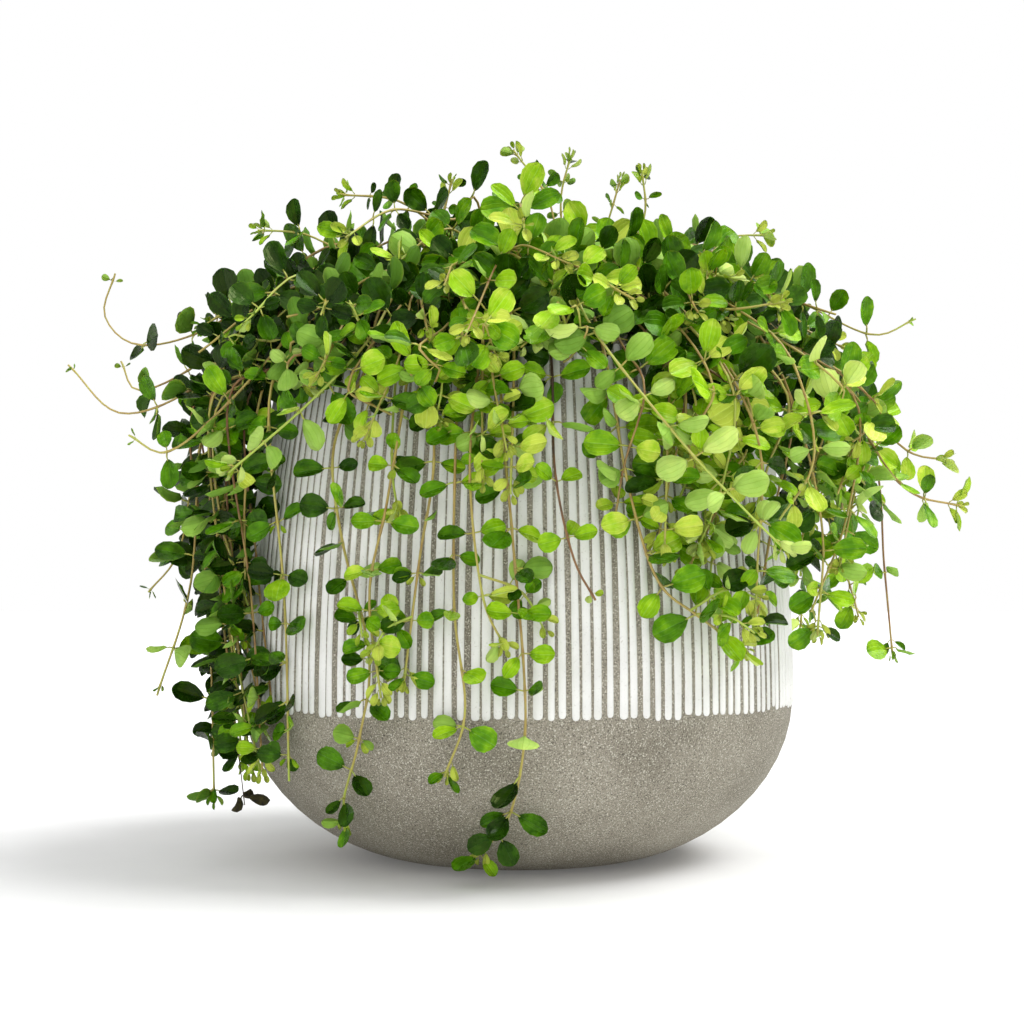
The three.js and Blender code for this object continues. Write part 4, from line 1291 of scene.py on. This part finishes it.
def modelStem(strand, fine):
    length, swelling = strand["length"], stemForm["swellingLength"]
    step = stemForm["step"] * (1 if fine else stemForm["coarse"])
    joints = np.array(sorted(strand["joints"])) if strand["joints"] else np.array([-50.0])
    marks = [*np.arange(0, length, step), length]
    marks += [joint + side for joint in joints for side in (-swelling, 0, swelling)]
    kept = [0]
    for mark in sorted(mark for mark in marks if 0 <= mark <= length)[1:]:
        if mark - kept[-1] > stemForm["least"]:
            kept.append(mark)
    kept = np.array(kept)
    places = along(strand["path"], strand["runs"], kept)
    near = np.min(np.abs(kept[:, None] - joints[None]), axis=1)
    swell = 1 + stemForm["swelling"] * np.exp(-(near / swelling) ** 2)
    dead = length - kept < strand["withered"]
    radii = np.array([stemRadius(run, length) for run in kept]) * swell * strand["thick"]
    radii *= np.where(dead, stemForm["deadThickness"], 1)
    curve = lineCurve(strand["name"], places * mm, radii)
    curve.bevel_depth = mm
    curve.bevel_resolution = 1 if fine else 0
    curve.use_fill_caps = True
    piece = curveToMesh(strand["name"], curve)
    corners = np.array([vertex.co for vertex in piece.data.vertices])
    nearest = np.argmin(np.linalg.norm(corners[:, None] / mm - places[None], axis=2), axis=1)
    young = np.exp(-(length - kept) / stemForm["youngLength"])
    band, bandLength = stemForm["bands"]
    tone = strand["stemTone"] + stemForm["youngTone"] * young + band * np.sin(kept / bandLength + strand["number"])
    tone = np.where(dead, stemForm["deadTone"], tone)
    piece.data.attributes.new("tone", "FLOAT", "POINT").data.foreach_set("value", tone[nearest])
    piece.data.materials.append(stemSkin)
    activate(piece)
    bpy.ops.object.shade_smooth()
    return piece


# Short side shoots that leave a joint and turn down
sideShoot = {
    "from": (0.45, 0.9), "length": (12, 26), "clear": 1.2,
    # Halfway and at the end: how far out and how far ahead, as shares of the length, and the sag
    "middle": (0.5, 0.3, 0), "end": (0.75, 0.7, 0.15),
    "look": {"pitch": 9, "bareFoot": -6, "leafSize": 0.78, "thick": 0.45, "branches": 0, "bareTip": 0,
             "fresh": 0.22, "freshLength": 8, "stemTone": 0.75, "withered": 0},
}


def branchesOf(strand):
    draws = strand["draws"]
    made = []
    for i in range(strand["branches"]):
        here = hereOn(strand, strand["length"] * draws.uniform(*sideShoot["from"]))
        out = sideOf(here, draws.uniform(0, 2 * math.pi))
        long = draws.uniform(*sideShoot["length"])
        points = [here["point"]]
        for outward, forward, sag in (sideShoot["middle"], sideShoot["end"]):
            way = (out * outward + here["ahead"] * forward) * long
            points.append(here["point"] + way + np.array([0, 0, -sag * long]))
        path = np.array(smoothPoints(points, 16))
        if not clearOfPots(path[3:], sideShoot["clear"]):
            continue
        look = {**{key: strand[key] for key in common}, **sideShoot["look"]}
        branch = strandOf(f"{strand['name']}_branch_{i}", path, runsOf(path), look, strand["number"] * 10 + i)
        branch["number"] = strand["number"]
        leafOut(branch)
        made.append(branch)
    return made


def modelLeaves(strand):
    made = []
    for leaf in strand["leaves"]:
        copy = copyOf(leafModels[leaf["kind"]])
        size = leaf["size"] * mm
        across = leaf["width"] * size * strand["draws"].uniform(*foliage["widthSlack"])
        columns = [across, leaf["heading"] * size, leaf["face"] * size, leaf["root"] * mm]
        copy.matrix_world = Matrix([*zip(*columns), (0, 0, 0, 1)])
        # Each leaf's tone includes painted shade in the mound and painted light on the sunny and near sides
        tone = np.where(stalkPoints[leaf["kind"]], foliage["stalkTone"], leaf["tone"])
        copy.data.attributes["tone"].data.foreach_set("value", tone)
        made.append(copy)
    return made


def modelStrand(strand, fine=True):
    pieces = []
    for part in [strand, *branchesOf(strand)]:
        pieces += [modelStem(part, fine), *modelLeaves(part)]
    return joinPieces(pieces, strand["name"].replace("trail", "vine"))


common = {"tone": 0.42, "fresh": 0.34, "freshLength": 16, "underShare": 0.06, "pitch": 16, "leafSize": 1,
          "bareFoot": 8, "bareTip": 0, "stemTone": 0.5, "thick": 0.5, "withered": 0, "branches": 0,
          "tipShare": 1}
# What sets single trails apart
trailLooks = {
    "right_pale": {"underShare": 0.9, "tone": 0.6, "stemTone": 0.8, "leafSize": 1.05},
    "left_pale": {"underShare": 0.75, "tone": 0.5, "stemTone": 0.8},
    "right_dark": {"tone": 0.22, "leafSize": 1.2, "fresh": 0.15},
    "right_hang": {"tone": 0.3, "stemTone": 0.2, "fresh": 0.1, "pitch": 24},
    "right_far": {"stemTone": 0.3}, "right_far_b": {"stemTone": 0.3},
    "right_curl": {"bareTip": 18, "stemTone": 0.6},
    "left_curl": {"bareTip": 34, "stemTone": 0.4, "thick": 0.45},
    "left_curl_b": {"bareTip": 28, "stemTone": 0.4, "thick": 0.45},
    "left_curl_c": {"bareTip": 16, "stemTone": 0.35}, "left_curl_d": {"bareTip": 12, "fresh": 0.1},
    "left_tip": {"bareTip": 10}, "left_tip_b": {"bareTip": 12, "tone": 0.28},
    "left_long": {"fresh": 0.2}, "left_long_b": {"fresh": 0.2, "withered": 18}, "left_curtain": {"fresh": 0.2},
    "front_left": {"stemTone": 0.6, "branches": 1, "leafSize": 0.88},
    "front_short": {"pitch": 19, "stemTone": 0.75, "branches": 1, "leafSize": 0.85},
    "front_b": {"pitch": 20, "branches": 1, "leafSize": 0.85},
    "front_c": {"pitch": 20, "leafSize": 0.85},
    "front_f": {"pitch": 19, "branches": 1, "leafSize": 0.85},
    "front_e": {"pitch": 19, "leafSize": 0.9, "bareTip": 17, "stemTone": -0.05},
    "right_low": {"branches": 2},
}
for letter in "abcdef":
    trailLooks["top_sprig_" + letter] = {"pitch": 9, "leafSize": 0.62, "tone": 0.5, "fresh": 0.3}


# Painted light: a base tone that is lighter on the sunny side and on the side near the camera
def paintedSideLight(azimuth):
    turn = math.radians(azimuth)
    sunny, sunTurn = shade["sunny"]
    near, nearTurn = shade["near"]
    return shade["mean"] + sunny * math.cos(turn + sunTurn) + near * max(0, -math.sin(turn + nearTurn))


def azimuthOf(point):
    return math.degrees(math.atan2(point[1], point[0]))


strands = []
for name, trail, path, runs in grown:
    bones = bonesOf(path, runs)
    places = leavesOf(bones, trail)
    own = trailLooks.get(name.removeprefix("trail_"), {})
    look = {**common, "tone": paintedSideLight(azimuthOf(path[-1])), **own}
    strands.append((strandOf(name, path, runs, look, trail), bones, places))
for strand, bones, places in strands:
    leafOutTrail(strand, bones, places)
    finishPiece(modelStrand(strand), "leafy_stem", strand["name"])
print("Vines are made:", len(strands), "with", sum(len(item[0]["leaves"]) for item in strands), "leaves")

# More stems of the same plant, between the solid ones, in pieces by direction
sectorCount = 12
rootSearch = {"tries": 14, "turn": (-14, 14), "inward": (0.4, 0.9), "widest": 62, "bend": (-2, 2), "outStep": 0.8,
              "lift": (-8, 4), "clear": 1.2, "crowding": 0.1, "crowdingStep": 0.02}
crowdLook = {"azimuth": (-4, 4), "tone": 0.05, "pitch": (14, 18), "stemTone": (0.2, 0.75), "tipShare": 0.6,
             "underShares": {0.04: 0.85, 0.5: 0.15}}
# Ranges in mm and degrees; a start and a reach are measured from the pot's axis
upright = {"count": 26, "start": (4, 50), "foot": 198, "top": (196, 207), "drift": (-30, 30), "reach": (12, 34)}
arching = {"count": 64, "start": (30, 60), "foot": 208, "middle": (74, 96), "crest": (200, 217),
           "drift": (-26, 26), "reach": (102, 126), "drop": (4, 26), "fall": 0.45, "fallFrom": 100}
hanging = {
    "drift": (-9, 9), "rightDrift": 22, "crest": (200, 215), "start": (70, 84), "shoulder": 166,
    "middleInward": (2, 9), "endInward": (4, 14),
    # By direction up to an azimuth: how far out the stems reach and where they end
    "spans": [(60, (116, 138), (78, 160)), (130, (120, 142), (50, 140)), (200, (112, 129), (58, 130)),
              (230, (107, 115), (34, 100)), (252, (106, 114), (170, 187)), (275, (107, 115), (156, 182)),
              (281, (107, 114), (176, 192)), (304, (111, 124), (92, 150)), (360, (116, 138), (84, 165))],
    # Their number between two azimuths
    "counts": [(252, 282, 8), (287, 300, 11), (300, 345, 17), (345, 420, 17), (60, 130, 15), (130, 200, 18),
               (200, 222, 13), (222, 230, 7), (232, 252, 4)],
}


def uprightRoute(draws, azimuth):
    start = draws.uniform(*upright["start"])
    top = draws.uniform(*upright["top"])
    return [[azimuth, start, upright["foot"]],
            [azimuth + draws.uniform(*upright["drift"]), start + draws.uniform(*upright["reach"]), top]]


def archingRoute(draws, azimuth):
    drift, crest, reach, start, middle, drop = [
        draws.uniform(*arching[key]) for key in ("drift", "crest", "reach", "start", "middle", "drop")]
    end = crest - drop - (reach - arching["fallFrom"]) * arching["fall"]
    return [[azimuth, start, arching["foot"]], [azimuth + drift * 0.5, middle, crest], [azimuth + drift, reach, end]]


def hangingStem(draws, azimuth):
    turn = math.radians(azimuth)
    drift = draws.uniform(*hanging["drift"]) + hanging["rightDrift"] * math.cos(turn) * (math.sin(turn) < 0)
    crest = draws.uniform(*hanging["crest"])
    reaches, ends = next(span[1:] for span in hanging["spans"] if span[0] > azimuth % 360)
    reach, end, start, middleInward, endInward = [draws.uniform(*limits) for limits in (
        reaches, ends, hanging["start"], hanging["middleInward"], hanging["endInward"])]
    shoulder = max(end + 10, hanging["shoulder"])
    return [[azimuth, start, crest], [azimuth + drift * 0.6, reach - 16, crest - 22],
            [azimuth + drift, reach, shoulder],
            [azimuth + drift, reach - middleInward, (shoulder + end) / 2 - 2],
            [azimuth + drift * 0.6, reach - endInward, end]]


def tryPath(draws, points):
    azimuth, distance, _ = points[0]
    for attempt in range(rootSearch["tries"]):
        turn = azimuth + draws.uniform(*rootSearch["turn"])
        root = polar(turn, min(distance * draws.uniform(*rootSearch["inward"]), rootSearch["widest"]), soilTop)
        through = [polar(a + draws.uniform(*rootSearch["bend"]), d + attempt * rootSearch["outStep"], h)
                   for a, d, h in points]
        path, runs = risingPath(root, through, draws.uniform(*rootSearch["lift"]))
        samples = aboveSoil(path, runs)
        allowed = rootSearch["crowding"] + rootSearch["crowdingStep"] * attempt
        if clearOfPots(samples, rootSearch["clear"]) and crowding(samples) < allowed:
            return path, runs
    return None


# Single stems between the hanging ones
extras = {
    "front_mid": ([[264, 88, 202], [264, 100, 178], [264, 109, 136]], {"leafSize": 0.95}),
    "front_right": ([[268, 88, 202], [269, 100, 178], [270, 109, 132]], {"pitch": 14}),
    "right_inner": ([[296, 88, 202], [296, 102, 178], [295, 110, 150], [295, 110, 112]], {"pitch": 15}),
    "front_inner": ([[267, 88, 202], [267, 101, 175], [267, 109, 146]], {"pitch": 14}),
    "front_top": ([[249, 88, 202], [248, 101, 180], [246, 109, 150]], {"pitch": 14}),
    "front_low": ([[249, 88, 202], [249, 100, 175], [248, 109, 130], [246, 110, 100], [246, 110, 66]],
                  {"pitch": 17, "leafSize": 0.85}),
}
crowdDraws = np.random.default_rng(11)
sectors = {}


def growStem(name, azimuth, points, lookOf, number):
    found = tryPath(crowdDraws, points)
    if found:
        look = {**common, "tone": paintedSideLight(azimuth), **lookOf()}
        strand = strandOf("stem_" + name, *found, look, number)
        leafOut(strand)
        sectors.setdefault(int(azimuth % 360 / 360 * sectorCount), []).append(strand)


wanted = [("upright", uprightRoute, (i * goldenTurn) % 360) for i in range(upright["count"])]
wanted += [("arching", archingRoute, i * 360 / arching["count"] + 2) for i in range(arching["count"])]
for start, end, count in hanging["counts"]:
    wanted += [("hanging", hangingStem, (start + (end - start) * (i + 0.5) / count) % 360) for i in range(count)]
for number, (kind, route, azimuth) in enumerate(wanted):
    points = route(crowdDraws, azimuth + crowdDraws.uniform(*crowdLook["azimuth"]))
    growStem(f"{kind}_{number}", azimuth, points, lambda: {
        "tone": paintedSideLight(azimuth) + crowdDraws.normal(0, crowdLook["tone"]),
        "pitch": crowdDraws.uniform(*crowdLook["pitch"]),
        "stemTone": crowdDraws.uniform(*crowdLook["stemTone"]),
        "underShare": pick(crowdDraws, crowdLook["underShares"]),
        "tipShare": crowdLook["tipShare"],
    }, 200 + number)
for number, (name, (points, own)) in enumerate(extras.items()):
    growStem(name, points[0][0], points, lambda: own, 500 + number)
for sector, group in sorted(sectors.items()):
    pieces = [modelStrand(strand, fine=False) for strand in group]
    finishPiece(joinPieces(pieces, f"foliage_{sector + 1}"), "leafy_stem")
for leaf in leafModels.values():
    bpy.data.objects.remove(leaf)
stems = [strand for group in sectors.values() for strand in group]
print("Foliage is made:", len(stems), "stems with", sum(len(strand["leaves"]) for strand in stems), "leaves")
